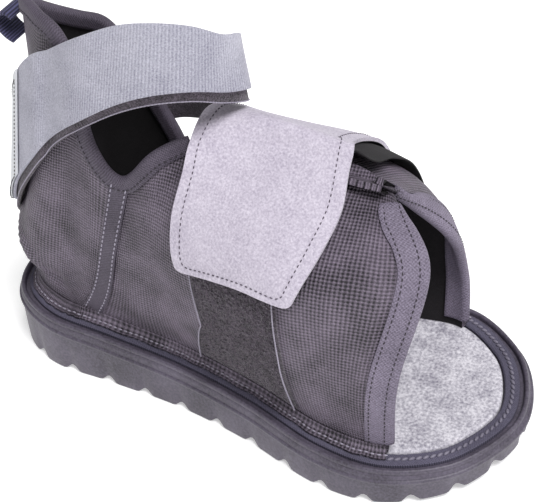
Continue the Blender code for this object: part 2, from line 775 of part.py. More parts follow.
def strap_surface(lift, lower):
    """Inner face of a layer of the ankle strap, at a lift off the heel panel and lowered its own way."""
    scale = (SOLE_LENGTH, HEEL_WIDTH, UPPER_HEIGHT)
    arch = np.array(STRAP_ARCH) * scale
    arch[:, :, 2] += cloth_floor(0.0)
    start = [[UPPER.lifted(*pair, lift) for pair in row] for row in STRAP_START]
    end = [[UPPER.lifted(*pair, lift) for pair in row] for row in STRAP_END]
    rows = np.array([*start, *arch, *end])
    base = BandSurface(rows)
    moved = []
    for k, row in enumerate(rows):
        across = unit(row[1] - row[0])
        free = len(start) <= k < len(start) + len(arch)
        out = base.normal(k, 0.5) * lift if free else 0.0
        moved.append([point + out - across * lower for point in row])
    return BandSurface(moved)


LINING_LIFT = BINDING_GAP + TAPE_THICKNESS + GAP
STRAP_LIFT = LINING_LIFT + STRAP_LINING_THICKNESS + 2 * GAP
STRAP_COUNT = len(STRAP_START) + len(STRAP_ARCH) + len(STRAP_END)
STRAP_MIDDLE = 8.0


def ankle_strap(finish, collection):
    surface = strap_surface(STRAP_LIFT, 0.0)
    stations = [(a, 0.0) for a in spread(0.0, STRAP_COUNT - 1, 35)]
    return strap_sheet("ankle_strap", surface, stations, (0.0, 1.0), 4, 0.0, STRAP_THICKNESS, finish,
                       collection, surface.normal(STRAP_MIDDLE, 0.5))


def ankle_strap_lining(finish, collection):
    surface = strap_surface(LINING_LIFT, STRAP_LINING_DROP)
    stations = [(a, 0.0) for a in spread(0.0, STRAP_COUNT - 1, 35)]
    return strap_sheet("ankle_strap_lining", surface, stations, (0.0, 1.0), 4, 0.0, STRAP_LINING_THICKNESS,
                       finish, collection, surface.normal(STRAP_MIDDLE, 0.5))


def heel_label(finish, collection):
    """The bare patch sewn over the strap's end at the back of the heel."""
    surface = strap_surface(STRAP_LIFT + STRAP_THICKNESS + 2 * GAP, 0.0)
    grid = [[surface.point(a, b) for b in spread(-0.08, 0.98, 5)] for a in spread(0.1, 2.3, 8)]
    return sheet("heel_label", grid, LABEL_THICKNESS, finish, collection, surface.normal(1.0, 0.5))


# Pull loop: its tape seen from the side, shares of SOLE_LENGTH forward of the heel panel's back edge
# and of UPPER_HEIGHT above its attachment
PULL_LOOP_PROFILE = (
    # forward, up
    (-0.0145, 0.980),
    (-0.026, 0.991),
    (-0.041, 0.982),
    (-0.048, 0.960),
    (-0.042, 0.938),
    (-0.032, 0.922),
    (-0.0195, 0.912),
)


def pull_loop(finish, collection):
    back = UPPER.point(HEEL_BACK_RIB, LEVELS)
    top = UPPER.point(HEEL_BACK_RIB, LEVELS - 0.1)
    grid = []
    for k in spread(0, len(PULL_LOOP_PROFILE) - 1, 16):
        forward, up = catmull(PULL_LOOP_PROFILE, k)
        x = back[0] + forward * SOLE_LENGTH
        z = top[2] + (up - PULL_LOOP_PROFILE[0][1]) * UPPER_HEIGHT
        grid.append([np.array([x, share * PULL_LOOP_WIDTH, z]) for share in (-0.5, 0.0, 0.5)])
    return sheet("pull_loop", grid, PULL_LOOP_THICKNESS, finish, collection, np.array([-1.0, 0.0, 0.0]))


def main():
    for item in list(bpy.data.objects):
        bpy.data.objects.remove(item, do_unlink=True)
    shoe = bpy.data.collections.new("post_operative_shoe")
    tools = bpy.data.collections.new("cutters")
    for collection in (shoe, tools):
        bpy.context.scene.collection.children.link(collection)

    rubber = material("dark_rubber", (0.085, 0.075, 0.10), 0.6)
    nylon = material("dark_nylon_cloth", (0.10, 0.085, 0.11), 0.85)
    tape = material("binding_tape", (0.17, 0.15, 0.20), 0.8)
    rand_cloth = material("stitched_rand_cloth", (0.13, 0.11, 0.17), 0.85)
    felt = material("grey_felt", (0.58, 0.56, 0.64), 0.95)
    loops = material("loop_fabric", (0.055, 0.045, 0.058), 1.0)
    webbing = material("light_grey_webbing", (0.47, 0.46, 0.55), 0.9)
    flap_cloth = material("light_grey_brushed_cloth", (0.64, 0.60, 0.68), 0.9)
    backing = material("black_backing", (0.015, 0.014, 0.016), 0.95)
    label_cloth = material("white_label", (0.75, 0.75, 0.76), 0.7)
    grosgrain = material("navy_grosgrain", (0.04, 0.038, 0.08), 0.8)

    sole = outsole(rubber, shoe)
    fuse(sole, tread_bars(rubber, tools))
    stitched_rand(rand_cloth, shoe)
    insole(felt, shoe)
    upper(nylon, shoe)
    turned_edge(nylon, shoe)
    front_binding("right_front_binding", RIGHT_FRONT, 2.75, tape, shoe)
    front_binding("left_front_binding", LEFT_FRONT, 2.35, tape, shoe)
    collar_binding(tape, shoe)
    seam_tape("right_seam_tape", RIGHT_SEAM, tape, shoe)
    seam_tape("left_seam_tape", LEFT_SEAM, tape, shoe)
    loop_patch(loops, shoe)
    forefoot_flap(flap_cloth, shoe)
    flap_backing(backing, shoe)
    ankle_strap(webbing, shoe)
    ankle_strap_lining(loops, shoe)
    heel_label(label_cloth, shoe)
    pull_loop(grosgrain, shoe)


main()
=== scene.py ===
"""Looks of the post operative shoe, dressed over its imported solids.

Every rubber, felt and cloth piece is built finely from the shoe's own sizes and stands where its solid
stands. The toe points along +X, the wearer's left is +Y and the floor is z = 0. The shape rules count x
from the back of the heel, and each mesh is moved by half the sole's length when it is made.
"""
from __future__ import annotations

import logging
import math
from dataclasses import dataclass, field
from enum import Enum
from typing import Any, Callable, Iterable, Sequence

import bpy
import numpy as np
from mathutils import Matrix

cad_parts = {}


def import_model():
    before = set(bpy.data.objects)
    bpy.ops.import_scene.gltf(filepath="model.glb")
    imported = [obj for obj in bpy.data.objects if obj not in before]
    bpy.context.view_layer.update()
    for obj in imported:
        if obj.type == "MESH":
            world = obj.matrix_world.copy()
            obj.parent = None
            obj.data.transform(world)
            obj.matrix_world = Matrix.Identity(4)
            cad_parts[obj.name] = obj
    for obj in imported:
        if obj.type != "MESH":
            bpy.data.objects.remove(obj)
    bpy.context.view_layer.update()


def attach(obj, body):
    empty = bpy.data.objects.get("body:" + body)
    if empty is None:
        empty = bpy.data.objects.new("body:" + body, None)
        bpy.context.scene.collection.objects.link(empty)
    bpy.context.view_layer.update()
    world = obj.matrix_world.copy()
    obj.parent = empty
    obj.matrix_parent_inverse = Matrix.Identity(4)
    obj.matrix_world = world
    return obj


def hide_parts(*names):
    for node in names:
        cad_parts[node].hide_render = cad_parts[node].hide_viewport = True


LOG = logging.getLogger("post_operative_shoe")

MM = 0.001

# Driving sizes of the shoe
SOLE_LENGTH = 270 * MM
BALL_WIDTH = 117 * MM
HEEL_WIDTH = 74 * MM
UPPER_HEIGHT = 164 * MM

# Height of the sole's rim over the floor
HEEL_RIM = 33.5 * MM
WAIST_RIM = 23.8 * MM
TOE_RIM = 19.5 * MM
TOE_SPRING = 5.0 * MM
SPRING_START = 0.72

# Tread and side of the sole
LUG_COUNT = 30
LUG_DEPTH = 3.0 * MM
LUG_BAND = 15.0 * MM
BAR_COUNT = 9
BAR_LENGTH = 9.0 * MM
BAR_MARGIN = 3.0 * MM
TOE_TUCK = 2.5 * MM
RIDGE_PROUD = 1.0 * MM
RIDGE_HEIGHT = 1.2 * MM
RIDGE_DROP_HEEL = 6.0 * MM
RIDGE_DROP_WAIST = 7.4 * MM
RIDGE_DROP_TOE = 4.6 * MM
BEAD_INSET = 1.8 * MM
BEAD_WIDTH = 2.4 * MM
BEAD_HEIGHT = 1.6 * MM
SEAT_INSET = 6.0 * MM

# What lies on the sole
GAP = 0.3 * MM
LAYER_GAP = 0.9 * MM
BINDING_GAP = 1.95 * MM
RAND_WIDTH = 6.7 * MM
RAND_THICKNESS = 2.0 * MM
INSOLE_THICKNESS = 4.5 * MM

# Cloth of the upper
WALL = 2.8 * MM
TAPE_THICKNESS = 0.9 * MM
FRONT_BINDING_WIDTH = 10.5 * MM
COLLAR_BINDING_WIDTH = 5.0 * MM
SEAM_TAPE_WIDTH = 9.5 * MM
TURNED_EDGE_WIDTH = 5.5 * MM
TURNED_EDGE_HEIGHT = 5.0 * MM
LOOP_PATCH_THICKNESS = 1.2 * MM

# Straps, label and pull loop
FLAP_THICKNESS = 1.8 * MM
FLAP_BACKING_THICKNESS = 0.8 * MM
FLAP_BACKING_REACH = 0.45  # ribs of the upper
STRAP_THICKNESS = 1.6 * MM
STRAP_LINING_THICKNESS = 1.4 * MM
STRAP_LINING_DROP = 6.5 * MM
LABEL_THICKNESS = 0.8 * MM
PULL_LOOP_WIDTH = 13.0 * MM
PULL_LOOP_THICKNESS = 1.3 * MM

# Sole outline: place along the length, then the half widths as shares of the heel width and, on the
# wearer's right and left, of the ball width
OUTLINE = (
    # length, heel, ball right, ball left
    (0.030, 0.312, 0.000, 0.000),
    (0.120, 0.488, 0.000, 0.000),
    (0.250, 0.503, 0.000, 0.000),
    (0.400, 0.260, 0.168, 0.168),
    (0.550, 0.000, 0.389, 0.381),
    (0.700, 0.000, 0.483, 0.468),
    (0.820, 0.000, 0.488, 0.500),
    (0.920, 0.000, 0.373, 0.377),
    (0.975, 0.000, 0.203, 0.212),
)

# Ribs of the upper, from the front of the right quarter round the heel to the front of the left quarter.
# base: share of the half rim from the heel (0) to the toe (1), negative on the wearer's right.
# belly, shoulder, top: forward as a share of SOLE_LENGTH, outward of BALL_WIDTH, up of UPPER_HEIGHT.
RIBS = (
    # base, belly, shoulder, top
    (-0.793, (0.019, -0.001, 0.265), (0.075, -0.180, 0.560), (0.018, -0.414, 0.638)),
    (-0.705, (0.006, 0.041, 0.262), (0.005, -0.034, 0.532), (-0.030, -0.432, 0.697)),
    (-0.582, (0.012, 0.096, 0.255), (0.005, 0.041, 0.549), (-0.060, -0.372, 0.731)),
    (-0.442, (0.005, 0.085, 0.233), (0.009, 0.085, 0.515), (0.003, -0.174, 0.730)),
    (-0.333, (0.019, 0.061, 0.192), (0.041, 0.085, 0.445), (0.064, 0.003, 0.698)),
    (-0.182, (0.060, 0.036, 0.160), (0.109, 0.052, 0.372), (0.154, 0.042, 0.583)),
    (-0.152, (0.060, 0.036, 0.173), (0.104, 0.042, 0.426), (0.133, 0.033, 0.673)),
    (-0.115, (0.050, 0.034, 0.225), (0.110, 0.037, 0.578), (0.148, 0.005, 0.955)),
    (-0.056, (0.036, 0.088, 0.215), (0.116, 0.088, 0.568), (0.137, 0.009, 1.000)),
    (0.000, (-0.015, 0.000, 0.195), (0.052, 0.000, 0.506), (0.086, 0.000, 0.965)),
    (0.056, (0.033, 0.080, 0.215), (0.110, 0.088, 0.550), (0.125, 0.033, 0.880)),
    (0.115, (0.050, 0.034, 0.208), (0.096, 0.047, 0.519), (0.120, 0.022, 0.820)),
    (0.152, (0.058, 0.036, 0.144), (0.104, 0.049, 0.345), (0.146, 0.041, 0.547)),
    (0.182, (0.063, 0.036, 0.119), (0.118, 0.051, 0.268), (0.165, 0.042, 0.399)),
    (0.333, (0.023, 0.060, 0.175), (0.045, 0.093, 0.398), (0.083, 0.060, 0.610)),
    (0.442, (0.005, 0.087, 0.233), (0.013, 0.104, 0.515), (0.025, -0.204, 0.730)),
    (0.580, (0.012, 0.107, 0.255), (0.008, 0.069, 0.549), (-0.038, -0.340, 0.736)),
    (0.703, (0.009, 0.062, 0.262), (0.005, 0.011, 0.514), (-0.044, -0.418, 0.710)),
    (0.787, (-0.001, 0.021, 0.194), (0.017, -0.117, 0.418), (-0.010, -0.419, 0.704)),
)
RIGHT_FRONT, LEFT_FRONT = 0, len(RIBS) - 1
RIGHT_SEAM, LEFT_SEAM = 5, 13
LEVELS = 3
HEEL_BACK_RIB = 9.0


def catmull(values: Sequence, at: float) -> np.ndarray:
    """Value at a fractional index of a list, on the smooth curve through its rows.

    Args:
        values: The rows, each a number or a point.
        at: The fractional index.

    Returns:
        The value there.
    """
    rows = np.asarray(values, float)
    last = len(rows) - 1
    at = min(max(at, 0.0), float(last))
    index = min(int(at), last - 1)
    t = at - index
    before = rows[index - 1] if index > 0 else 2 * rows[0] - rows[1]
    after = rows[index + 2] if index + 2 <= last else 2 * rows[last] - rows[last - 1]
    start, end = rows[index], rows[index + 1]
    return 0.5 * (
        2 * start
        + (end - before) * t
        + (2 * before - 5 * start + 4 * end - after) * t ** 2
        + (3 * start - before - 3 * end + after) * t ** 3
    )


def through_three(heel: float, waist: float, toe: float, share: float) -> float:
    """Parabola through a value at the heel, the waist and the toe.

    Args:
        heel: Value at 0.
        waist: Value at 0.5.
        toe: Value at 1.
        share: Where to read it.

    Returns:
        The value there.
    """
    return (
        heel * (1 - share) * (1 - 2 * share)
        + waist * 4 * share * (1 - share)
        + toe * share * (2 * share - 1)
    )


def unit(vector: np.ndarray) -> np.ndarray:
    """The vector at a length of one."""
    return vector / np.linalg.norm(vector)


# Sole heights along the length

def share_of_length(x: float) -> float:
    """Place along the shoe, from 0 at the heel to 1 at the toe."""
    return min(max(x / SOLE_LENGTH, 0.0), 1.0)


def rim_height(x: float) -> float:
    """Height of the sole's rim."""
    return through_three(HEEL_RIM, WAIST_RIM, TOE_RIM, share_of_length(x))


def ridge_height(x: float) -> float:
    """Height of the raised ridge round the side wall."""
    drop = through_three(RIDGE_DROP_HEEL, RIDGE_DROP_WAIST, RIDGE_DROP_TOE, share_of_length(x))
    return rim_height(x) - drop


def floor_height(x: float) -> float:
    """Height of the tread, with its spring at the toe."""
    rise = max(share_of_length(x) - SPRING_START, 0.0) / (1.0 - SPRING_START)
    return TOE_SPRING * rise ** 2


def seat_height(x: float) -> float:
    """Where the rand and the insole board lie on the sole, below the bead."""
    return rim_height(x) - RAND_THICKNESS - 2 * GAP


def cloth_floor(x: float) -> float:
    """Top of the rand and insole, on which the upper stands."""
    return seat_height(x) + GAP + RAND_THICKNESS


# Sole outline and the rings inside it

def outline_points() -> np.ndarray:
    """Points of the outline from the heel round the wearer's right to the toe and back on the left.

    Returns:
        The closed line, without its first point again.
    """
    right = [(x * SOLE_LENGTH, -(h * HEEL_WIDTH + r * BALL_WIDTH)) for x, h, r, _ in OUTLINE]
    left = [(x * SOLE_LENGTH, h * HEEL_WIDTH + r * BALL_WIDTH) for x, h, _, r in OUTLINE]
    closed = [(0.0, 0.0)] + right + [(SOLE_LENGTH, 0.0)] + left[::-1]
    count, steps, overlap = len(closed), 96, 2
    wrapped = closed[-overlap:] + closed + closed[:overlap + 1]
    return np.array([catmull(wrapped, overlap + k / steps) for k in range(count * steps)])


def resample(points: np.ndarray, shares: Sequence[float]) -> np.ndarray:
    """Points of a closed line at the given shares of its length.

    Args:
        points: The closed line.
        shares: From 0 up to 1.

    Returns:
        The points at those shares.
    """
    closed = np.vstack([points, points[:1]])
    run = np.concatenate([[0.0], np.cumsum(np.linalg.norm(np.diff(closed, axis=0), axis=1))])
    at = np.asarray(shares) * run[-1]
    return np.stack([np.interp(at, run, closed[:, axis]) for axis in (0, 1)], axis=1)


def inset(points: np.ndarray, distance: float | np.ndarray) -> np.ndarray:
    """A closed line moved inward, by one distance or by one for each point.

    Args:
        points: The closed line.
        distance: One distance, or one for each point.

    Returns:
        The moved line.
    """
    along = np.roll(points, -1, axis=0) - np.roll(points, 1, axis=0)
    along = along / np.linalg.norm(along, axis=1)[:, None]
    inward = np.stack([-along[:, 1], along[:, 0]], axis=1)
    return points + inward * np.asarray(distance).reshape(-1, 1)


WALL_INSET = SEAT_INSET + GAP + RAND_WIDTH + GAP
WALL_LINE = inset(resample(outline_points(), np.arange(360) / 360), WALL_INSET)


def half_line(side: int) -> tuple[np.ndarray, np.ndarray]:
    """The wall line from the heel to the toe on one side, with its run as shares from 0 to 1.

    Args:
        side: -1 for the wearer's right, 1 for the left.

    Returns:
        Its points and their shares.
    """
    toe = int(np.argmax(WALL_LINE[:, 0]))
    order = list(range(toe + 1)) if side < 0 else [0] + list(range(len(WALL_LINE) - 1, toe - 1, -1))
    points = WALL_LINE[order]
    run = np.concatenate([[0.0], np.cumsum(np.linalg.norm(np.diff(points, axis=0), axis=1))])
    return points, run / run[-1]


HALVES = {-1: half_line(-1), 1: half_line(1)}


def wall_foot(share: float) -> np.ndarray:
    """Where the upper meets the sole, at a share of the half rim, right negative."""
    points, run = HALVES[-1 if share < 0 else 1]
    return np.array([np.interp(abs(share), run, points[:, axis]) for axis in (0, 1)])


def foot_outward(share: float) -> np.ndarray:
    """Level direction out of the shoe at a place on the wall line.

    Args:
        share: Share of the half rim, right negative.

    Returns:
        The direction, of length one.
    """
    step = 0.006
    along = unit(wall_foot(share + step) - wall_foot(share - step))
    return np.array([-along[1], along[0]])


# Surfaces that carry the cloth pieces

class Surface:
    """A smooth surface with a point for each pair of numbers, and a side that faces out."""

    outward = 1.0
    last_a, last_b = 1.0, 1.0

    def point(self, a: float, b: float) -> np.ndarray:
        """The point for a pair of numbers."""
        raise NotImplementedError

    def slopes(self, a: float, b: float, step: float = 0.02) -> tuple[np.ndarray, np.ndarray]:
        """How fast the point moves with each number, taken inside the surface at its edges.

        Args:
            a: Place along the ribs or rows.
            b: Level, or share of the width.
            step: How far apart the points are read.

        Returns:
            The two slopes.
        """
        a, b = min(max(a, 0.0), self.last_a), min(max(b, 0.0), self.last_b)
        a0, a1 = max(a - step, 0.0), min(a + step, self.last_a)
        b0, b1 = max(b - step, 0.0), min(b + step, self.last_b)
        along_a = (self.point(a1, b) - self.point(a0, b)) / (a1 - a0)
        along_b = (self.point(a, b1) - self.point(a, b0)) / (b1 - b0)
        return along_a, along_b

    def normal(self, a: float, b: float) -> np.ndarray:
        """Direction straight out of the surface."""
        along_a, along_b = self.slopes(a, b)
        return unit(np.cross(along_a, along_b)) * self.outward

    def lifted(self, a: float, b: float, lift: float) -> np.ndarray:
        """A point held off the surface."""
        return self.point(a, b) + self.normal(a, b) * lift

    def walk(
        self, a: float, b: float, direction: np.ndarray, distance: float, steps: int = 4
    ) -> tuple[float, float]:
        """The pair of numbers reached by going a distance along the surface in a direction.

        Args:
            a: Place along the ribs or rows.
            b: Level, or share of the width.
            direction: The way to go.
            distance: How far, in metres.
            steps: In how many steps.

        Returns:
            The pair that is reached.
        """
        for _ in range(steps):
            along_a, along_b = self.slopes(a, b)
            frame = np.stack([along_a, along_b], axis=1)
            moved = np.linalg.lstsq(frame, direction * distance / steps, rcond=None)[0]
            a, b = a + moved[0], b + moved[1]
        return a, b


class UpperSurface(Surface):
    """Outer face of the upper: ribs along a (the row of RIBS), levels along b (0 foot to 3 top)."""

    outward = -1.0

    def __init__(self, ribs: Sequence) -> None:
        """Sort the ribs into their feet and their levels.

        Args:
            ribs: Rows of RIBS.
        """
        self.last_a, self.last_b = len(ribs) - 1.0, float(LEVELS)
        self.bases = [(base,) for base, *_ in ribs]
        self.levels = [[(0.0, 0.0, 0.0)] * len(ribs)]
        for level in range(LEVELS):
            self.levels.append([row[1 + level] for row in ribs])

    def point(self, a: float, b: float) -> np.ndarray:
        """The point at a rib and a level.

        Args:
            a: The rib.
            b: The level.

        Returns:
            The point, in metres.
        """
        share = float(catmull(self.bases, a)[0])
        foot, out = wall_foot(share), foot_outward(share)
        rows = [catmull(level, a) for level in self.levels]
        forward, outward, up = catmull(rows, b) * (SOLE_LENGTH, BALL_WIDTH, UPPER_HEIGHT)
        x, y = foot + out * outward
        return np.array([x + forward, y, cloth_floor(foot[0]) + GAP + up])


class BandSurface(Surface):
    """A strap: a runs along it, one number for each row, and b across it from 0 to 1."""

    def __init__(self, rows: Sequence, outward: float = 1.0) -> None:
        """Take the rows across the strap, from its start to its end.

        Args:
            rows: Points across the strap, row by row.
            outward: Which side of it faces out.
        """
        self.rows = np.asarray(rows, float)
        self.last_a = len(self.rows) - 1.0
        self.outward = outward

    def point(self, a: float, b: float) -> np.ndarray:
        """The point at a row and a share of the strap's width."""
        across = catmull(self.rows, a)
        return catmull(across, b * (len(across) - 1))


# Creases of the upper, placed one by one

@dataclass(frozen=True)
class Crease:
    """A soft ridge (height above 0) or trough (below 0) along places on the upper."""

    places: tuple[tuple[float, float], ...]
    height: float
    width: float


CREASES = (
    Crease(((8.75, 1.45), (8.35, 1.15), (7.95, 0.90), (7.65, 0.62)), 2.8 * MM, 3.6 * MM),
    Crease(((7.60, 0.60), (7.35, 0.50), (7.10, 0.50)), -2.6 * MM, 4.4 * MM),
    Crease(((8.60, 0.95), (8.20, 0.62), (7.85, 0.38)), -2.2 * MM, 4.2 * MM),
    Crease(((6.80, 1.60), (6.60, 1.10), (6.45, 0.70)), -0.8 * MM, 4.0 * MM),
    Crease(((4.55, 1.60), (4.30, 1.10), (4.20, 0.60)), 0.7 * MM, 5.0 * MM),
    Crease(((1.35, 1.90), (1.15, 1.30), (1.20, 0.70)), -0.8 * MM, 5.5 * MM),
    Crease(((0.55, 1.75), (0.42, 1.15), (0.50, 0.55)), 0.9 * MM, 4.5 * MM),
    Crease(((10.2, 1.50), (10.6, 1.00), (11.0, 0.60)), -1.2 * MM, 4.5 * MM),
    Crease(((14.6, 1.70), (14.9, 1.10), (15.0, 0.60)), 0.8 * MM, 5.0 * MM),
    Crease(((16.6, 1.80), (16.8, 1.20), (16.7, 0.60)), -0.8 * MM, 5.0 * MM),
)


CREASE_STATIONS = 14


class CreasedUpper(Surface):
    """The upper's outer face, sampled finely once with its creases pressed in along the normals."""

    outward = -1.0

    def __init__(self, smooth: UpperSurface, per_rib: int = 10, per_level: int = 20) -> None:
        """Sample the smooth face and press the creases in.

        Args:
            smooth: The face without creases.
            per_rib: Samples from rib to rib.
            per_level: Samples from level to level.
        """
        self.smooth = smooth
        self.last_a, self.last_b = smooth.last_a, smooth.last_b
        self.per_rib, self.per_level = per_rib, per_level
        places_a = np.linspace(0.0, self.last_a, int(self.last_a * per_rib) + 1)
        places_b = np.linspace(0.0, self.last_b, int(self.last_b * per_level) + 1)
        grid = np.array([[smooth.point(a, b) for b in places_b] for a in places_a])
        normals = self.grid_normals(grid)
        for crease in CREASES:
            along = np.linspace(0.0, len(crease.places) - 1, CREASE_STATIONS)
            line = np.array([smooth.point(*catmull(crease.places, k)) for k in along])
            distance = np.min(np.linalg.norm(grid[:, :, None] - line[None, None], axis=3), axis=2)
            lift = crease.height * np.exp(-((distance / crease.width) ** 2))
            grid = grid + normals * lift[:, :, None]
        self.grid, self.normals = grid, self.grid_normals(grid)

    def grid_normals(self, grid: np.ndarray) -> np.ndarray:
        """Outward directions at every point of the grid."""
        turned = np.cross(np.gradient(grid, axis=0), np.gradient(grid, axis=1)) * self.outward
        return turned / np.linalg.norm(turned, axis=2, keepdims=True)

    def read(self, table: np.ndarray, a: float, b: float) -> np.ndarray:
        """A value of a table between its places.

        Args:
            table: Values at every sample.
            a: The rib.
            b: The level.

        Returns:
            The value there.
        """
        a = min(max(a, 0.0), self.last_a) * self.per_rib
        b = min(max(b, 0.0), self.last_b) * self.per_level
        i, j = min(int(a), len(table) - 2), min(int(b), len(table[0]) - 2)
        s, t = a - i, b - j
        near = table[i, j] * (1 - t) + table[i, j + 1] * t
        far = table[i + 1, j] * (1 - t) + table[i + 1, j + 1] * t
        return near * (1 - s) + far * s

    def point(self, a: float, b: float) -> np.ndarray:
        """The creased point at a rib and a level."""
        return self.read(self.grid, a, b)

    def normal(self, a: float, b: float) -> np.ndarray:
        """The creased face's direction out of the shoe."""
        return unit(self.read(self.normals, a, b))


UPPER = CreasedUpper(UpperSurface(RIBS))


# Forefoot flap: where its rear and front edge cross the upper, and how far it stands off.
# level and ribs are places on the upper, rises are shares of WALL beyond the clearances.
FLAP_ROWS = (
    # level, rear rib, front rib, rear rise, front rise
    (1.74, 2.90, 1.36, 0.0, 0.0),
    (1.95, 2.98, 1.24, 0.0, 0.0),
    (2.25, 3.07, 1.10, 0.0, 0.0),
    (2.55, 3.12, 1.02, 0.8, 0.6),
    (2.80, 3.17, 1.05, 2.3, 2.3),
    (2.74, 14.60, 16.66, 1.6, 1.5),
    (2.40, 14.72, 16.55, 0.5, 0.8),
    (2.05, 14.82, 16.55, 0.0, 0.4),
    (1.70, 14.90, 16.60, 0.0, 0.1),
    (1.35, 14.95, 16.66, 0.0, 0.0),
)
FLAP_COLUMNS = 6


# The flap's inner lining where it crosses from one quarter to the other, from its rear edge to its front
# edge: shares of SOLE_LENGTH forward, HEEL_WIDTH to the left, UPPER_HEIGHT up
FLAP_CREST = (
    (0.464, 0.020, 0.712),
    (0.593, 0.000, 0.722),
    (0.722, 0.020, 0.690),
)


def flap_surface(extra: float, further: float = 0.0) -> BandSurface:
    """The flap's inner face, a clearance and any extra lift above what it covers.

    On the wearer's left its front edge can reach further along the upper, in ribs.

    Args:
        extra: Lift beyond the clearance, in metres.
        further: Extra reach at its front edge, in ribs.

    Returns:
        The face, one row for each place along the flap.
    """
    clear = LOOP_PATCH_THICKNESS + 2 * LAYER_GAP + extra
    shares = np.linspace(0.0, 1.0, FLAP_COLUMNS)
    crest = np.array(FLAP_CREST) * (SOLE_LENGTH, HEEL_WIDTH, UPPER_HEIGHT)
    crest[:, 2] += cloth_floor(0.0) + extra
    sides = {"right": [], "left": []}
    for level, rear, front, rear_rise, front_rise in FLAP_ROWS:
        side = "left" if rear > HEEL_BACK_RIB else "right"
        if side == "left":
            front += further
        row = []
        for share in shares:
            rise = WALL * (rear_rise + (front_rise - rear_rise) * share ** 3)
            point = UPPER.lifted(rear + (front - rear) * share, level, clear)
            row.append(point + np.array([0.0, 0.0, rise]))
        sides[side].append(row)
    middle = [catmull(crest, share * (len(crest) - 1)) for share in shares]
    return BandSurface([*sides["right"], middle, *sides["left"]])


# Ankle strap, from the back of the heel round the wearer's right, over the ankle and down the left.
# Where it lies on the heel panel: the rib and level of its lower and its upper edge.
STRAP_START = (
    # lower edge, upper edge
    ((9.50, 1.10), (9.60, 2.05)),
    ((8.75, 1.18), (8.90, 2.30)),
    ((8.15, 1.64), (8.30, 2.56)),
    ((7.65, 2.04), (7.65, 2.80)),
    ((7.22, 2.24), (7.10, 2.98)),
)
STRAP_END = (
    # lower edge, upper edge
    ((11.45, 2.25), (11.20, 2.90)),
    ((10.95, 1.85), (10.85, 2.60)),
    ((10.45, 1.65), (10.50, 2.40)),
)
# Where it stands free: shares of SOLE_LENGTH forward, HEEL_WIDTH to the left, UPPER_HEIGHT up
STRAP_ARCH = (
    # lower edge, upper edge
    ((0.300, -0.418, 0.765), (0.346, -0.415, 1.045)),
    ((0.371, -0.402, 0.843), (0.410, -0.388, 1.093)),
    ((0.435, -0.358, 0.890), (0.460, -0.334, 1.103)),
    ((0.484, -0.252, 0.890), (0.500, -0.228, 1.078)),
    ((0.507, -0.093, 0.842), (0.514, -0.082, 1.013)),
    ((0.510, 0.080, 0.782), (0.508, 0.053, 0.958)),
    ((0.452, 0.215, 0.722), (0.476, 0.215, 0.898)),
    ((0.422, 0.345, 0.620), (0.438, 0.352, 0.825)),
    ((0.365, 0.440, 0.555), (0.372, 0.452, 0.780)),
    ((0.300, 0.475, 0.520), (0.300, 0.480, 0.735)),
)


def strap_surface(lift: float, lower: float) -> BandSurface:
    """Inner face of a layer of the ankle strap, at a lift off the heel panel and lowered its own way.

    Args:
        lift: Distance off the heel panel, in metres.
        lower: How far it is lowered across its width.

    Returns:
        The face, one row for each place along the strap.
    """
    scale = (SOLE_LENGTH, HEEL_WIDTH, UPPER_HEIGHT)
    arch = np.array(STRAP_ARCH) * scale
    arch[:, :, 2] += cloth_floor(0.0)
    start = [[UPPER.lifted(*pair, lift) for pair in row] for row in STRAP_START]
    end = [[UPPER.lifted(*pair, lift) for pair in row] for row in STRAP_END]
    rows = np.array([*start, *arch, *end])
    base = BandSurface(rows)
    moved = []
    for k, row in enumerate(rows):
        across = unit(row[1] - row[0])
        free = len(start) <= k < len(start) + len(arch)
        out = base.normal(k, 0.5) * lift if free else 0.0
        moved.append([point + out - across * lower for point in row])
    return BandSurface(moved)

STRAP_MIDDLE = 8.0

# Pull loop: its tape seen from the side, shares of SOLE_LENGTH forward of the heel panel's back edge
# and of UPPER_HEIGHT above its attachment
PULL_LOOP_PROFILE = (
    # forward, up
    (-0.0145, 0.980),
    (-0.026, 0.991),
    (-0.041, 0.982),
    (-0.048, 0.960),
    (-0.042, 0.938),
    (-0.032, 0.922),
    (-0.0195, 0.912),
)


# Finishes

class Slot(Enum):
    """The record's material slots."""

    RUBBER = "dark_rubber"
    RAND = "rand_cloth"
    FELT = "grey_felt"
    NYLON = "dark_nylon"
    TAPE = "binding_tape"
    LOOPS = "loop_fabric"
    FLAP = "brushed_cloth"
    BACKING = "black_backing"
    WEBBING = "light_webbing"
    LABEL = "white_label"
    GROSGRAIN = "navy_grosgrain"


class Weave(Enum):
    """How the threads show on a cloth's face."""

    NONE = "none"
    DIAGONAL = "diagonal"
    PLAIN = "plain"
    RIBS = "ribs"


def linear(hex_colour: str) -> tuple[float, ...]:
    """An sRGB hex colour as linear red, green, blue and a full alpha.

    Args:
        hex_colour: Such as #A0B0C0.

    Returns:
        The four values.
    """
    channels = [int(hex_colour[k:k + 2], 16) / 255 for k in (1, 3, 5)]
    turned = [c / 12.92 if c <= 0.04045 else ((c + 0.055) / 1.055) ** 2.4 for c in channels]
    return (*turned, 1.0)


def add_node(
    tree: bpy.types.NodeTree,
    kind: str,
    settings: dict[str, Any] | None = None,
    inputs: dict[int | str, Any] | None = None,
) -> bpy.types.Node:
    """Add a node with its settings and links.

    Args:
        tree: The tree that gets the node.
        kind: Blender's identifier of the node.
        settings: Properties of the node.
        inputs: Values, or sockets to link, by the input's number or name.

    Returns:
        The new node.
    """
    node = tree.nodes.new(kind)
    for key, value in (settings or {}).items():
        setattr(node, key, value)
    for key, value in (inputs or {}).items():
        if isinstance(value, bpy.types.NodeSocket):
            tree.links.new(value, node.inputs[key])
        else:
            node.inputs[key].default_value = value
    return node


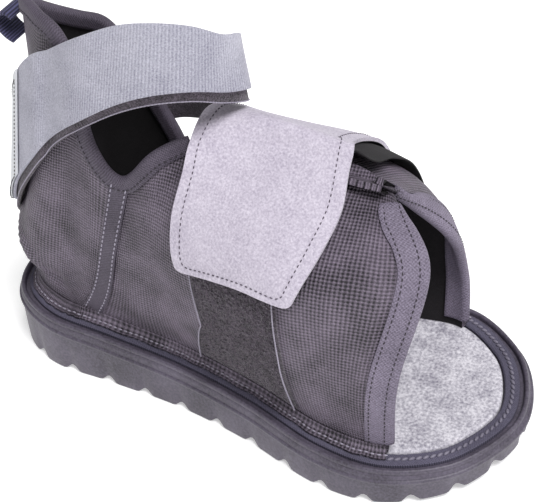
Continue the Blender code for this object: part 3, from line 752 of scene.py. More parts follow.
@dataclass(frozen=True)
class Finish:
    """One real material: its colours, its threads or pile, and how it takes the light.

    Lengths are in metres. The weave's pitch is what one pair of threads takes on the real cloth.
    """

    name: str
    slot: Slot
    light: str
    dark: str
    weave: Weave = Weave.NONE
    pitch: tuple[float, float] = (1.0 * MM, 1.0 * MM)
    thread_depth: float = 0.6
    grain_size: float = 0.7 * MM
    grain: float = 0.4
    blotch: float = 0.3
    blotch_size: float = 22 * MM
    relief: float = 0.3 * MM
    bump: float = 0.6
    roughness: float = 0.85
    sheen: float = 0.0
    ior: float = 1.5

    def build(self) -> bpy.types.Material:
        """Make the node tree of this finish.

        Returns:
            The material.
        """
        material = bpy.data.materials.new(self.name)
        material.use_nodes = True
        tree = material.node_tree
        shader = tree.nodes["Principled BSDF"]
        place = add_node(tree, "ShaderNodeTexCoord").outputs["Object"]
        grain = add_node(tree, "ShaderNodeTexNoise", None,
                         {"Vector": place, "Scale": 1 / self.grain_size, "Detail": 3.0, "Roughness": 0.6})
        blotch = add_node(tree, "ShaderNodeTexNoise", None,
                          {"Vector": place, "Scale": 1 / self.blotch_size, "Detail": 2.0})
        threads = self.threads(tree)
        rough = add_node(tree, "ShaderNodeMath", {"operation": "MULTIPLY_ADD"},
                         {0: grain.outputs["Fac"], 1: 2.4 * self.grain, 2: 0.5 - 1.2 * self.grain})
        cloudy = add_node(tree, "ShaderNodeMath", {"operation": "MULTIPLY_ADD"},
                          {0: blotch.outputs["Fac"], 1: 2.0 * self.blotch, 2: -1.0 * self.blotch})
        mottled = add_node(tree, "ShaderNodeMath", {"operation": "ADD"},
                           {0: rough.outputs[0], 1: cloudy.outputs[0]})
        woven = add_node(tree, "ShaderNodeMath", {"operation": "MULTIPLY_ADD", "use_clamp": True},
                         {0: threads, 1: 0.5 * self.thread_depth, 2: mottled.outputs[0]})
        colour = add_node(tree, "ShaderNodeMix", {"data_type": "RGBA"},
                          {0: woven.outputs[0], 6: linear(self.dark), 7: linear(self.light)})
        height = add_node(tree, "ShaderNodeMath", {"operation": "MULTIPLY_ADD"},
                          {0: threads, 1: self.thread_depth, 2: grain.outputs["Fac"]})
        bump = add_node(tree, "ShaderNodeBump", None,
                        {"Height": height.outputs[0], "Strength": self.bump, "Distance": self.relief})
        tree.links.new(colour.outputs[2], shader.inputs["Base Color"])
        tree.links.new(bump.outputs["Normal"], shader.inputs["Normal"])
        shader.inputs["Roughness"].default_value = self.roughness
        shader.inputs["Sheen Weight"].default_value = self.sheen
        shader.inputs["IOR"].default_value = self.ior
        return material

    def threads(self, tree: bpy.types.NodeTree) -> bpy.types.NodeSocket:
        """Height of the crossing threads, from -1 to 1, along the cloth's own directions.

        Args:
            tree: The material's tree.

        Returns:
            The socket that gives the height.
        """
        if self.weave is Weave.NONE:
            return add_node(tree, "ShaderNodeValue").outputs[0]
        cloth = add_node(tree, "ShaderNodeUVMap", {"uv_map": "cloth"})
        split = add_node(tree, "ShaderNodeSeparateXYZ", None, {0: cloth.outputs["UV"]})
        across, along = split.outputs["X"], split.outputs["Y"]
        if self.weave is Weave.DIAGONAL:
            summed = add_node(tree, "ShaderNodeMath", {"operation": "ADD"}, {0: across, 1: along})
            turned = add_node(tree, "ShaderNodeMath", {"operation": "SUBTRACT"}, {0: across, 1: along})
            across, along = summed.outputs[0], turned.outputs[0]
        waves = []
        for direction, pitch in zip((across, along), self.pitch):
            phase = add_node(tree, "ShaderNodeMath", {"operation": "MULTIPLY"},
                             {0: direction, 1: 2 * math.pi / pitch})
            waves.append(add_node(tree, "ShaderNodeMath", {"operation": "SINE"},
                                  {0: phase.outputs[0]}).outputs[0])
        if self.weave is Weave.RIBS:
            return waves[0]
        return add_node(tree, "ShaderNodeMath", {"operation": "MULTIPLY"},
                        {0: waves[0], 1: waves[1]}).outputs[0]


# Moulded rubber: dull, with a fine cast grain and paler worn places
RUBBER = Finish("moulded_rubber", Slot.RUBBER, "#6C6576", "#2C2731", grain_size=1.2 * MM, grain=0.5,
                blotch=0.5, relief=0.25 * MM, bump=0.5, roughness=0.48, ior=1.52)
# Polyester strip: tight plain weave under the rope stitch
RAND_CLOTH = Finish("polyester_rand", Slot.RAND, "#6E6A80", "#3B3746", Weave.PLAIN, (1.2 * MM, 1.2 * MM))
# Needled felt: matt, speckled by its loose fibres
FELT = Finish("needled_felt", Slot.FELT, "#F0EDF5", "#8D8998", grain_size=1.4 * MM, grain=0.9, blotch=0.5,
              blotch_size=9 * MM, relief=0.5 * MM, bump=0.8, roughness=1.0, sheen=0.2)
# Ballistic nylon: coarse threads that catch the light in small diamonds, drawn twice as coarse as the
# real 1.2 mm threads so that they show
NYLON = Finish("coarse_nylon", Slot.NYLON, "#897D8F", "#17131B", Weave.DIAGONAL, (3.3 * MM, 3.3 * MM), 0.85,
               grain=0.45, blotch=0.5, blotch_size=16 * MM, relief=0.55 * MM, bump=0.9, roughness=0.6,
               ior=1.53)
# Black polyester jersey inside the shoe: it gives back almost no light
LINING = Finish("black_jersey", Slot.NYLON, "#2A262A", "#0E0C0E", Weave.PLAIN, (0.9 * MM, 0.9 * MM),
                roughness=1.0)
# Woven polyester tape: flat plain weave, slightly shiny
TAPE = Finish("woven_tape", Slot.TAPE, "#988EA3", "#413A49", Weave.PLAIN, (1.6 * MM, 1.6 * MM), 0.4,
              grain=0.6, relief=0.3 * MM, roughness=0.7)
# The same tape painted darker as shade, over the seams and the collar
SHADED_TAPE = Finish("painted_shade_tape", Slot.TAPE, "#6B6273", "#29232E", Weave.PLAIN, (1.2 * MM, 1.2 * MM), 0.7,
                   grain=0.4, relief=0.25 * MM, roughness=0.7)
# Unbroken nylon loop pile: tangled and dark in its own colour, with painted shade deep between its loops
LOOP_PILE = Finish("loop_pile", Slot.LOOPS, "#6A5F6D", "#0D0A0E", grain_size=0.9 * MM, grain=0.95,
                   blotch=0.3, blotch_size=6 * MM, relief=0.8 * MM, bump=1.0, roughness=1.0, sheen=0.3)
# Brushed tricot: a short pale nap with soft clouds
TRICOT = Finish("brushed_tricot", Slot.FLAP, "#E2DBE8", "#A299AC", grain_size=1.0 * MM, grain=0.7,
                blotch=0.2, blotch_size=9 * MM, relief=0.4 * MM, bump=0.6, roughness=0.95, sheen=0.25)
# Black foam-backed jersey
BACKING = Finish("black_backing", Slot.BACKING, "#2B282C", "#0D0B0D", grain=0.6, roughness=1.0)
# Knitted elastic: fine ribs across the strap
ELASTIC = Finish("knitted_elastic", Slot.WEBBING, "#CBCAD7", "#7F7E90", Weave.RIBS, (1.5 * MM, 1.1 * MM), 0.3,
                 grain=0.7, blotch=0.35, relief=0.3 * MM, bump=0.6, roughness=0.9, sheen=0.15)
# Satin label ribbon
SATIN = Finish("label_satin", Slot.LABEL, "#EDEEF1", "#C9CCD3", Weave.RIBS, (0.8 * MM, 0.8 * MM), 0.3,
               grain=0.2, relief=0.1 * MM, roughness=0.5)
# Grosgrain ribbon: strong cross ribs in navy
RIBBON = Finish("navy_ribbon", Slot.GROSGRAIN, "#55547A", "#1F1E33", Weave.RIBS, (1.3 * MM, 1.3 * MM), 1.0,
                grain=0.3, relief=0.3 * MM, roughness=0.7)
# Spun polyester sewing thread in the shoe's tones
PALE_THREAD = Finish("pale_thread", Slot.TAPE, "#BDB7C6", "#7C7588", grain_size=0.5 * MM, roughness=0.6)
GREY_THREAD = Finish("grey_thread", Slot.FLAP, "#6A6270", "#3C3642", grain_size=0.5 * MM, roughness=0.6)
DARK_THREAD = Finish("dark_thread", Slot.NYLON, "#3E3741", "#1C181E", grain_size=0.5 * MM, roughness=0.6)
ROPE_THREAD = Finish("rope_thread", Slot.RAND, "#9A95A6", "#4C4758", grain_size=0.6 * MM, roughness=0.6)


# Making meshes

@dataclass
class Workshop:
    """Adds the shoe's visible pieces in the shoe's frame and dresses them."""

    made: dict[str, bpy.types.Material] = field(default_factory=dict)

    def material(self, finish: Finish) -> bpy.types.Material:
        """The material of a finish, built once.

        Args:
            finish: The finish.

        Returns:
            Its material.
        """
        if finish.name not in self.made:
            self.made[finish.name] = finish.build()
        return self.made[finish.name]

    def add(
        self,
        name: str,
        points: Iterable[Sequence[float]],
        faces: Sequence[Sequence[int]],
        finish: Finish,
        replaces: Sequence[str] = (),
        cloth: np.ndarray | None = None,
        sharp: float = math.radians(38),
    ) -> bpy.types.Object:
        """Add a smooth-shaded piece.

        Args:
            name: The piece's name.
            points: Its points, counted from the back of the heel.
            faces: Its faces, which point outwards.
            finish: What it is made of.
            replaces: The solids that it stands for.
            cloth: Each point's place on its weave, in metres.
            sharp: The angle above which an edge stays sharp.

        Returns:
            The new object.
        """
        table = np.asarray(list(points), float) - np.array([SOLE_LENGTH / 2, 0.0, 0.0])
        mesh = bpy.data.meshes.new(name)
        mesh.from_pydata(table.tolist(), [], [list(face) for face in faces])
        layer = mesh.uv_layers.new(name="cloth")
        index = np.zeros(len(mesh.loops), int)
        mesh.loops.foreach_get("vertex_index", index)
        places = table[:, :2] if cloth is None else np.asarray(cloth, float)
        layer.data.foreach_set("uv", places[index].ravel())
        mesh.update()
        mesh.shade_smooth()
        mesh.set_sharp_from_angle(angle=sharp)
        return self.place(name, mesh, finish, replaces)

    def place(
        self, name: str, mesh: bpy.types.Mesh, finish: Finish, replaces: Sequence[str] = ()
    ) -> bpy.types.Object:
        """Put a finished mesh on the shoe's body and for its solids.

        Args:
            name: The piece's name.
            mesh: Its mesh.
            finish: What it is made of.
            replaces: The solids that it stands for.

        Returns:
            The new object.
        """
        item = bpy.data.objects.new(name, mesh)
        bpy.context.scene.collection.objects.link(item)
        if not mesh.materials:
            mesh.materials.append(self.material(finish))
        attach(item, "root")
        if replaces:
            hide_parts(*replaces)
        return item

    def cloth(
        self,
        name: str,
        grid: Sequence[Sequence[np.ndarray]],
        thickness: float,
        outward: np.ndarray,
        finish: Finish,
        replaces: Sequence[str] = (),
        back: Finish | None = None,
    ) -> bpy.types.Object:
        """Add a cloth of some thickness with soft edges.

        Args:
            name: The piece's name.
            grid: Points of the face that the thickness starts from.
            thickness: Outward if above 0, inward if below.
            outward: A direction out of the cloth at its middle.
            finish: What its face is made of.
            replaces: The solids that it stands for.
            back: What its inner face is made of, if something else.

        Returns:
            The new object.
        """
        table = np.asarray(grid, float)
        item = self.add(name, table.reshape(-1, 3), grid_faces(table, outward), finish, replaces,
                        cloth_places(table), math.pi)
        if back is not None:
            item.data.materials.append(self.material(back))
        solid = item.modifiers.new("thickness", "SOLIDIFY")
        solid.thickness = abs(thickness)
        solid.offset = 1.0 if thickness > 0 else -1.0
        solid.use_even_offset = True
        solid.material_offset = 0 if back is None else 1
        rounding = item.modifiers.new("soft edges", "BEVEL")
        rounding.width = 0.3 * abs(thickness)
        rounding.segments = 2
        rounding.limit_method = "ANGLE"
        rounding.angle_limit = math.radians(60)
        item.modifiers.new("even shading", "WEIGHTED_NORMAL")
        return item


def grid_faces(
    table: np.ndarray, outward: np.ndarray, column: int | None = None
) -> list[tuple[int, ...]]:
    """Faces of a grid of points, all turned the same way.

    Args:
        table: The grid's points by row and column.
        outward: The direction that the faces look in at the middle row.
        column: Where on that row they do, or its middle.

    Returns:
        The faces, as numbers of points.
    """
    rows, columns = table.shape[:2]
    middle, beside = rows // 2, columns // 2 if column is None else column
    along = table[middle, min(beside + 1, columns - 1)] - table[middle, beside - 1]
    across = table[min(middle + 1, rows - 1), beside] - table[middle - 1, beside]
    flip = float(np.dot(np.cross(along, across), outward)) < 0
    faces = []
    for row in range(rows - 1):
        for step in range(columns - 1):
            corner = row * columns + step
            face = (corner, corner + 1, corner + columns + 1, corner + columns)
            faces.append(face[::-1] if flip else face)
    return faces


def cloth_places(table: np.ndarray) -> np.ndarray:
    """Each grid point's place on its cloth: its run along the rows and down the columns.

    Args:
        table: The grid's points by row and column.

    Returns:
        Two numbers in metres for each point.
    """
    rows, columns = table.shape[:2]
    steps = np.linalg.norm(np.diff(table, axis=1), axis=2).mean(axis=0)
    across = np.broadcast_to(np.concatenate([[0.0], np.cumsum(steps)]), (rows, columns))
    drops = np.linalg.norm(np.diff(table, axis=0), axis=2)
    down = np.vstack([np.zeros(columns), np.cumsum(drops, axis=0)])
    return np.stack([across, down], axis=2).reshape(-1, 2)


def closed_tube(rings: np.ndarray, caps: bool) -> list[tuple[int, ...]]:
    """Faces round and along rings of equal count, its ends closed or joined to each other.

    Args:
        rings: Points by ring.
        caps: Whether flat ends close it.

    Returns:
        The faces, as numbers of points.
    """
    levels, count = rings.shape[:2]
    faces: list[tuple[int, ...]] = []
    for level in range(levels - 1 if caps else levels):
        here, there = level * count, (level + 1) % levels * count
        for k in range(count):
            after = (k + 1) % count
            faces.append((here + k, here + after, there + after, there + k))
    if caps:
        faces.append(tuple(range(count))[::-1])
        faces.append(tuple((levels - 1) * count + k for k in range(count)))
    return faces


@dataclass
class Seam:
    """Stitches along lines, made by Geometry Nodes as short threads at a steady pitch."""

    pitch: float = 2.6 * MM
    cover: float = 0.62
    radius: float = 0.34 * MM
    lean: float = 0.0

    def sew(
        self, shop: Workshop, name: str, lines: Sequence[Sequence[np.ndarray]], finish: Finish
    ) -> bpy.types.Object:
        """Sew along lines.

        Args:
            shop: The workshop that adds the piece.
            name: The seam's name.
            lines: The lines that its stitches follow.
            finish: Its thread.

        Returns:
            The stitches, joined in one mesh.
        """
        guide = self.guide(name, lines)
        holder = bpy.data.objects.new(f"{name}_guide", guide)
        bpy.context.scene.collection.objects.link(holder)
        tree, sockets = self.tree(name, shop.material(finish))
        modifier = holder.modifiers.new("stitches", "NODES")
        modifier.node_group = tree
        for label, value in (("Pitch", self.pitch), ("Length", self.pitch * self.cover),
                             ("Radius", self.radius), ("Lean", self.lean)):
            modifier[sockets[label]] = value
        bpy.context.view_layer.update()
        ready = holder.evaluated_get(bpy.context.evaluated_depsgraph_get())
        mesh = bpy.data.meshes.new_from_object(ready)
        mesh.name = name
        bpy.data.objects.remove(holder)
        bpy.data.node_groups.remove(tree)
        return shop.place(name, mesh, finish)

    @staticmethod
    def guide(name: str, lines: Sequence[Sequence[np.ndarray]]) -> bpy.types.Mesh:
        """A mesh of bare edges along the lines.

        Args:
            name: The seam's name.
            lines: The lines, as points.

        Returns:
            The mesh.
        """
        points: list[list[float]] = []
        edges: list[tuple[int, int]] = []
        for line in lines:
            base = len(points)
            table = np.asarray(line, float) - np.array([SOLE_LENGTH / 2, 0.0, 0.0])
            points.extend(table.tolist())
            edges.extend((base + k, base + k + 1) for k in range(len(table) - 1))
        mesh = bpy.data.meshes.new(f"{name}_guide")
        mesh.from_pydata(points, edges, [])
        return mesh

    @staticmethod
    def tree(name: str, thread: bpy.types.Material) -> tuple[bpy.types.NodeTree, dict[str, str]]:
        """The tree that lays a thread at each place on the guide, and its inputs by name.

        Args:
            name: The seam's name.
            thread: The material of its thread.

        Returns:
            The tree, and its inputs' identifiers by name.
        """
        tree = bpy.data.node_groups.new(f"{name}_stitches", "GeometryNodeTree")
        tree.interface.new_socket("Geometry", in_out="INPUT", socket_type="NodeSocketGeometry")
        sockets = {}
        for label in ("Pitch", "Length", "Radius", "Lean"):
            made = tree.interface.new_socket(label, in_out="INPUT", socket_type="NodeSocketFloat")
            sockets[label] = made.identifier
        tree.interface.new_socket("Geometry", in_out="OUTPUT", socket_type="NodeSocketGeometry")
        source = add_node(tree, "NodeGroupInput").outputs
        curve = add_node(tree, "GeometryNodeMeshToCurve", None, {0: source["Geometry"]})
        even = add_node(tree, "GeometryNodeResampleCurve", {"mode": "LENGTH"},
                        {"Curve": curve.outputs[0], "Length": source["Pitch"]})
        tangent = add_node(tree, "GeometryNodeInputTangent")
        leaning = add_node(tree, "ShaderNodeVectorRotate", {"rotation_type": "Z_AXIS"},
                           {"Vector": tangent.outputs[0], "Angle": source["Lean"]})
        turned = add_node(tree, "FunctionNodeAlignRotationToVector", {"axis": "Z"},
                          {"Vector": leaning.outputs[0]})
        half = add_node(tree, "ShaderNodeMath", {"operation": "MULTIPLY"}, {0: source["Length"], 1: 0.5})
        size = add_node(tree, "ShaderNodeCombineXYZ", None,
                        {0: source["Radius"], 1: source["Radius"], 2: half.outputs[0]})
        thread_shape = add_node(tree, "GeometryNodeMeshUVSphere", None,
                                {"Segments": 6, "Rings": 5, "Radius": 1.0})
        laid = add_node(tree, "GeometryNodeInstanceOnPoints", None,
                        {"Points": even.outputs[0], "Instance": thread_shape.outputs[0],
                         "Rotation": turned.outputs[0], "Scale": size.outputs[0]})
        real = add_node(tree, "GeometryNodeRealizeInstances", None, {0: laid.outputs[0]})
        smooth = add_node(tree, "GeometryNodeSetShadeSmooth", None, {0: real.outputs[0]})
        dyed = add_node(tree, "GeometryNodeSetMaterial", None,
                        {"Geometry": smooth.outputs[0], "Material": thread})
        add_node(tree, "NodeGroupOutput", None, {0: dyed.outputs[0]})
        return tree, sockets


# The sole

@dataclass
class Sole:
    """Moulded outsole, stitched rand and felt insole."""

    shop: Workshop
    per_lug: int = 16
    notch_share: float = 0.24
    scallop: float = 0.9 * MM
    lug_rounding: tuple[tuple[float, float], ...] = ((0.7 * MM, 0.0), (0.15 * MM, 0.4 * MM), (0.0, 1.0 * MM))
    wall_shares: tuple[float, ...] = (0.25, 0.5, 0.75)
    wall_bulge: float = 1.6
    cloth_step: float = 1.4 * MM
    rand_rounding: float = 0.6 * MM
    rope: Seam = field(default_factory=lambda: Seam(3.1 * MM, 1.05, 0.85 * MM, math.radians(24)))
    rope_inset: float = 3.1 * MM

    def __post_init__(self) -> None:
        """Lay out the rim's points, one set for each lug."""
        count = LUG_COUNT * self.per_lug
        self.rim = resample(outline_points(), np.arange(count) / count)
        phase = (np.arange(count) % self.per_lug) / self.per_lug
        phase = np.minimum(phase, 1 - phase) / self.notch_share
        self.notch = np.where(phase < 1, 0.5 + 0.5 * np.cos(np.pi * np.minimum(phase, 1)), 0.0)
        self.tuck = np.array([
            TOE_TUCK * max(share_of_length(x) - SPRING_START, 0.0) / (1.0 - SPRING_START)
            for x, _ in self.rim
        ])

    def ring(self, inset_by: float | np.ndarray, height: Callable[[float], float],
             lift: float | np.ndarray = 0.0) -> np.ndarray:
        """A ring of the rim's points, moved inward, at a height that depends on x.

        Args:
            inset_by: How far inward.
            height: The height for a place along the shoe.
            lift: Added to the height.

        Returns:
            The points.
        """
        flat = inset(self.rim, inset_by)
        heights = np.array([height(x) for x in flat[:, 0]]) + lift
        return np.column_stack([flat, heights])

    def build(self) -> None:
        """Make the outsole, the rand with its rope stitch, and the insole."""
        self.outsole()
        self.rand()
        self.insole()
        LOG.info("sole: outsole, rand and insole")

    def outsole(self) -> None:
        """The rubber tub: lugs, side wall, ridge, bead and the well for the insole."""
        lift = self.notch * LUG_DEPTH
        rings = [
            self.ring(LUG_BAND + MM, floor_height, LUG_DEPTH),
            self.ring(LUG_BAND, floor_height, lift),
        ]
        hollow = self.tuck + self.scallop * self.notch
        rings += [self.ring(hollow + inward, floor_height, lift + up) for inward, up in self.lug_rounding]
        foot = rings[-1]
        under = self.ring(RIDGE_PROUD, ridge_height, -RIDGE_HEIGHT)
        for share in self.wall_shares:
            eased = share ** self.wall_bulge
            rings.append(np.column_stack([
                foot[:, :2] * (1 - eased) + under[:, :2] * eased,
                foot[:, 2] * (1 - share) + under[:, 2] * share,
            ]))
        for angle in np.linspace(-90, 90, 7):
            turn = math.radians(angle)
            rings.append(self.ring(RIDGE_PROUD * (1 - math.cos(turn)), ridge_height,
                                   RIDGE_HEIGHT * math.sin(turn)))
        rings.append(self.ring(RIDGE_PROUD + 0.3 * MM, rim_height, -BEAD_HEIGHT - 1.6 * MM))
        rings.append(self.ring(BEAD_INSET + 0.4 * MM, rim_height, -BEAD_HEIGHT - 0.5 * MM))
        rings.append(self.ring(BEAD_INSET + 0.1 * MM, rim_height, -BEAD_HEIGHT))
        for angle in np.linspace(-20, 180, 9):
            turn = math.radians(angle)
            rings.append(self.ring(BEAD_INSET + BEAD_WIDTH * (0.5 - 0.5 * math.cos(turn)), rim_height,
                                   BEAD_HEIGHT * (max(math.sin(turn), -0.5) - 1)))
        inner = BEAD_INSET + BEAD_WIDTH
        edge = WALL_INSET + GAP
        rings.append(self.ring(inner + 0.1 * MM, seat_height))
        rings.append(self.ring(edge, seat_height))
        rings.append(self.ring(edge, seat_height, RAND_THICKNESS - INSOLE_THICKNESS))
        table = np.array(rings)
        points = list(table.reshape(-1, 3))
        count = len(self.rim)
        faces = closed_tube(table, True)[:-2]
        for level, turned in ((0, True), (len(rings) - 1, False)):
            faces.extend(self.bridge(level * count, count, turned))
        bar_points, bar_faces = self.tread_bars()
        base = len(points)
        points.extend(bar_points)
        faces.extend(tuple(base + k for k in face) for face in bar_faces)
        self.shop.add("outsole_rubber", points, faces, RUBBER, ["outsole"])

    @staticmethod
    def bridge(first: int, count: int, turned: bool) -> list[tuple[int, ...]]:
        """Close a ring straight across the shoe.

        Args:
            first: Number of the ring's first point.
            count: How many points it has.
            turned: Whether the faces look down.

        Returns:
            The faces.
        """
        faces = []
        for k in range(count // 2):
            corners = (first + k, first + k + 1, first + (count - k - 1) % count, first + (count - k) % count)
            face = tuple(dict.fromkeys(corners))
            if len(face) > 2:
                faces.append(face[::-1] if turned else face)
        return faces

    def tread_bars(self) -> tuple[list[tuple[float, ...]], list[tuple[int, ...]]]:
        """Lugs across the hollow of the tread.

        Returns:
            Their points and faces.
        """
        inner = inset(self.rim, LUG_BAND + MM + BAR_MARGIN)
        first, last = inner[:, 0].min(), inner[:, 0].max()
        pitch = (last - first) / BAR_COUNT
        sides = []
        for keep in (inner[:, 1] < 0, inner[:, 1] >= 0):
            edge = inner[keep]
            sides.append(edge[np.argsort(edge[:, 0])])
        points, faces = [], []
        for bar in range(BAR_COUNT):
            middle = first + pitch * (bar + 0.5)
            start, end = middle - BAR_LENGTH / 2, middle + BAR_LENGTH / 2
            corners = [(x, float(np.interp(x, edge[:, 0], edge[:, 1]))) for x, edge in
                       ((start, sides[0]), (end, sides[0]), (end, sides[1]), (start, sides[1]))]
            base = len(points)
            points += [(x, y, floor_height(x)) for x, y in corners]
            points += [(x, y, floor_height(x) + LUG_DEPTH + MM) for x, y in corners]
            walls = [(k, (k + 1) % 4, (k + 1) % 4 + 4, k + 4) for k in range(4)]
            faces += [tuple(base + k for k in face) for face in [(3, 2, 1, 0), (4, 5, 6, 7), *walls]]
        return points, faces

    def rand(self) -> None:
        """The strip round the insole, with its rope stitch."""
        outer, inner = SEAT_INSET + GAP, SEAT_INSET + GAP + RAND_WIDTH
        soft = self.rand_rounding
        profile = ((outer, 0.0), (outer, RAND_THICKNESS - soft), (outer + soft, RAND_THICKNESS),
                   (inner - soft, RAND_THICKNESS), (inner, RAND_THICKNESS - soft), (inner, 0.0))
        table = np.array([self.ring(each, seat_height, GAP + up) for each, up in profile])
        run = np.arange(len(self.rim))[None] * self.cloth_step
        across = np.array([inward for inward, _ in profile])[:, None]
        places = np.stack(np.broadcast_arrays(run, across), axis=2)
        faces = closed_tube(table, False)
        self.shop.add("rand_strip", table.reshape(-1, 3), faces, RAND_CLOTH, ["stitched_rand"],
                      places.reshape(-1, 2))
        line = self.ring(outer + self.rope_inset, seat_height, GAP + RAND_THICKNESS + 0.25 * MM)
        self.rope.sew(self.shop, "rand_rope_stitch", [np.vstack([line, line[:1]])], ROPE_THREAD)

    def insole(self) -> None:
        """The felt board, its edge rounded over."""
        edge = WALL_INSET + 2 * GAP
        top = RAND_THICKNESS + GAP
        profile = ((0.0, top - INSOLE_THICKNESS + GAP), (0.0, top - 1.2 * MM), (0.3 * MM, top - 0.5 * MM),
                   (0.9 * MM, top - 0.12 * MM), (1.8 * MM, top), (6.0 * MM, top - 0.1 * MM),
                   (12.0 * MM, top - 0.25 * MM))
        table = np.array([self.ring(edge + each, seat_height, up) for each, up in profile])
        count = len(self.rim)
        faces = closed_tube(table, True)[:-2]
        for level, turned in ((0, True), (len(profile) - 1, False)):
            faces.extend(self.bridge(level * count, count, turned))
        board = self.shop.add("felt_insole", table.reshape(-1, 3), faces, FELT, ["insole"])


# The upper

@dataclass
class Upper:
    """The hollow cloth wall with its turned edge, bindings, seam tapes and loop patch."""

    shop: Workshop
    per_rib: int = 12
    levels: int = 60
    close: float = 0.25 * MM
    thread_sink: float = 0.1 * MM
    stitch: Seam = field(default_factory=Seam)
    coarse_stitch: Seam = field(default_factory=lambda: Seam(3.0 * MM, 0.66, 0.42 * MM))
    cord: Seam = field(default_factory=lambda: Seam(1.5 * MM, 1.15, 0.42 * MM))
    turned_stations: int = 260
    turned_step: tuple[float, float] = (1.7 * MM, 1.2 * MM)
    turned_wave: float = 0.35 * MM
    turned_turns: tuple[float, float] = (0.9, 0.23)
    fold_stations: int = 7
    binding_foot: float = 0.14
    binding_stations: int = 70
    binding_columns: int = 6
    collar_ends: tuple[float, float] = (3.3, 14.6)
    collar_stations: int = 260
    collar_columns: int = 3
    seam_ends: tuple[float, float] = (0.30, LEVELS - 0.08)
    seam_stations: int = 60
    seam_columns: int = 9
    patch_ribs: tuple[float, float, float] = (1.60, 2.84, 3.24)
    patch_levels: tuple[float, float] = (0.20, 2.25)
    patch_grid: tuple[int, int] = (190, 90)
    patch_pile: tuple[float, float] = (0.35 * MM, 0.9 * MM)
    patch_skirt: int = 4
    patch_seed: int = 7

    def build(self) -> None:
        """Make every piece of the upper."""
        self.wall()
        self.turned_edge()
        self.front_binding("right_front_tape", "right_front_binding", RIGHT_FRONT, 2.92)
        self.front_binding("left_front_tape", "left_front_binding", LEFT_FRONT, 2.80)
        self.collar()
        self.seam_tape("right_seam_cover", "right_seam_tape", RIGHT_SEAM)
        self.seam_tape("left_seam_cover", "left_seam_tape", LEFT_SEAM)
        self.loop_patch()
        LOG.info("upper: wall, turned edge, bindings, tapes and loop patch")

    def wall(self) -> None:
        """Both quarters and the heel panel, black inside."""
        across = np.linspace(RIGHT_FRONT, LEFT_FRONT, LEFT_FRONT * self.per_rib + 1)
        up = np.linspace(0.0, LEVELS, self.levels + 1)
        grid = [[UPPER.point(a, b) for a in across] for b in up]
        outward = UPPER.normal(across[len(across) // 2], up[len(up) // 2])
        self.shop.cloth("nylon_upper", grid, -WALL, outward, NYLON, ["upper"], LINING)

    def turned_edge(self) -> None:
        """The foot of the upper turned out over the rand, with its seam."""
        rows, places = [], []
        stations = np.linspace(RIGHT_FRONT + 0.02, LEFT_FRONT - 0.02, self.turned_stations)
        for k, a in enumerate(stations):
            share = float(catmull(UPPER.smooth.bases, a)[0])
            foot, out = wall_foot(share), foot_outward(share)
            floor = cloth_floor(foot[0]) + 2 * GAP
            climb = UPPER.point(a, TURNED_EDGE_HEIGHT / UPPER_HEIGHT * 4)
            lean = float(np.dot(climb[:2] - foot, out)) + GAP
            slow, fast = (math.sin(k * turn) for turn in self.turned_turns)
            width = TURNED_EDGE_WIDTH - GAP + self.turned_wave * slow * fast
            # reach outward, height
            profile = (
                (GAP, 0.0),
                (width - 0.3 * MM, 0.0),
                (width, 0.5 * MM),
                (width - 0.2 * MM, 1.1 * MM),
                (width * 0.72, 1.5 * MM),
                (width * 0.45 + lean * 0.8, 2.2 * MM),
                (lean + 0.9 * MM, 3.4 * MM),
                (lean + 0.2 * MM, TURNED_EDGE_HEIGHT),
            )
            rows.append([(*(foot + out * reach), floor + up) for reach, up in profile])
            along, around = self.turned_step
            places.append([(k * along, j * around) for j in range(len(profile))])
        table = np.array(rows)
        self.shop.add("turned_cloth_edge", table.reshape(-1, 3), closed_tube(table, True), NYLON,
                      ["turned_edge"], np.array(places).reshape(-1, 2))
        line = [row[4] + np.array([0.0, 0.0, 2 * self.thread_sink]) for row in table]
        self.coarse_stitch.sew(self.shop, "foot_seam_stitches", [line], PALE_THREAD)

    def folded_tape(self, edge: Sequence[tuple[float, float]], width: float, columns: int) -> np.ndarray:
        """Grid of a tape folded over a free edge of the upper, from its outer to its inner side.

        Args:
            edge: Places along the free edge.
            width: How far the tape reaches over each face.
            columns: Steps over that width.

        Returns:
            One row of points for each place.
        """
        grid = []
        for k, (a, b) in enumerate(edge):
            ahead, behind = edge[min(k + 1, len(edge) - 1)], edge[max(k - 1, 0)]
            along = unit(UPPER.point(*ahead) - UPPER.point(*behind))
            normal = UPPER.normal(a, b)
            beyond = np.cross(along, normal)
            step = 0.15
            inside = UPPER.point(min(max(a, RIGHT_FRONT + step), LEFT_FRONT - step), min(b, LEVELS - step))
            if np.dot(beyond, inside - UPPER.point(a, b)) > 0:
                beyond = -beyond
            outer, inner = [], []
            for column in range(columns, 0, -1):
                pair = UPPER.walk(a, b, -beyond, width * column / columns)
                outer.append(UPPER.lifted(*pair, self.close))
                inner.append(UPPER.lifted(*pair, -WALL - self.close))
            middle, reach = UPPER.lifted(a, b, -WALL / 2), WALL / 2 + self.close
            fold = []
            for angle in np.linspace(90, -90, self.fold_stations):
                turn = math.radians(angle)
                fold.append(middle + (normal * math.sin(turn) + beyond * math.cos(turn)) * reach)
            grid.append(outer + fold + inner[::-1])
        return np.array(grid)

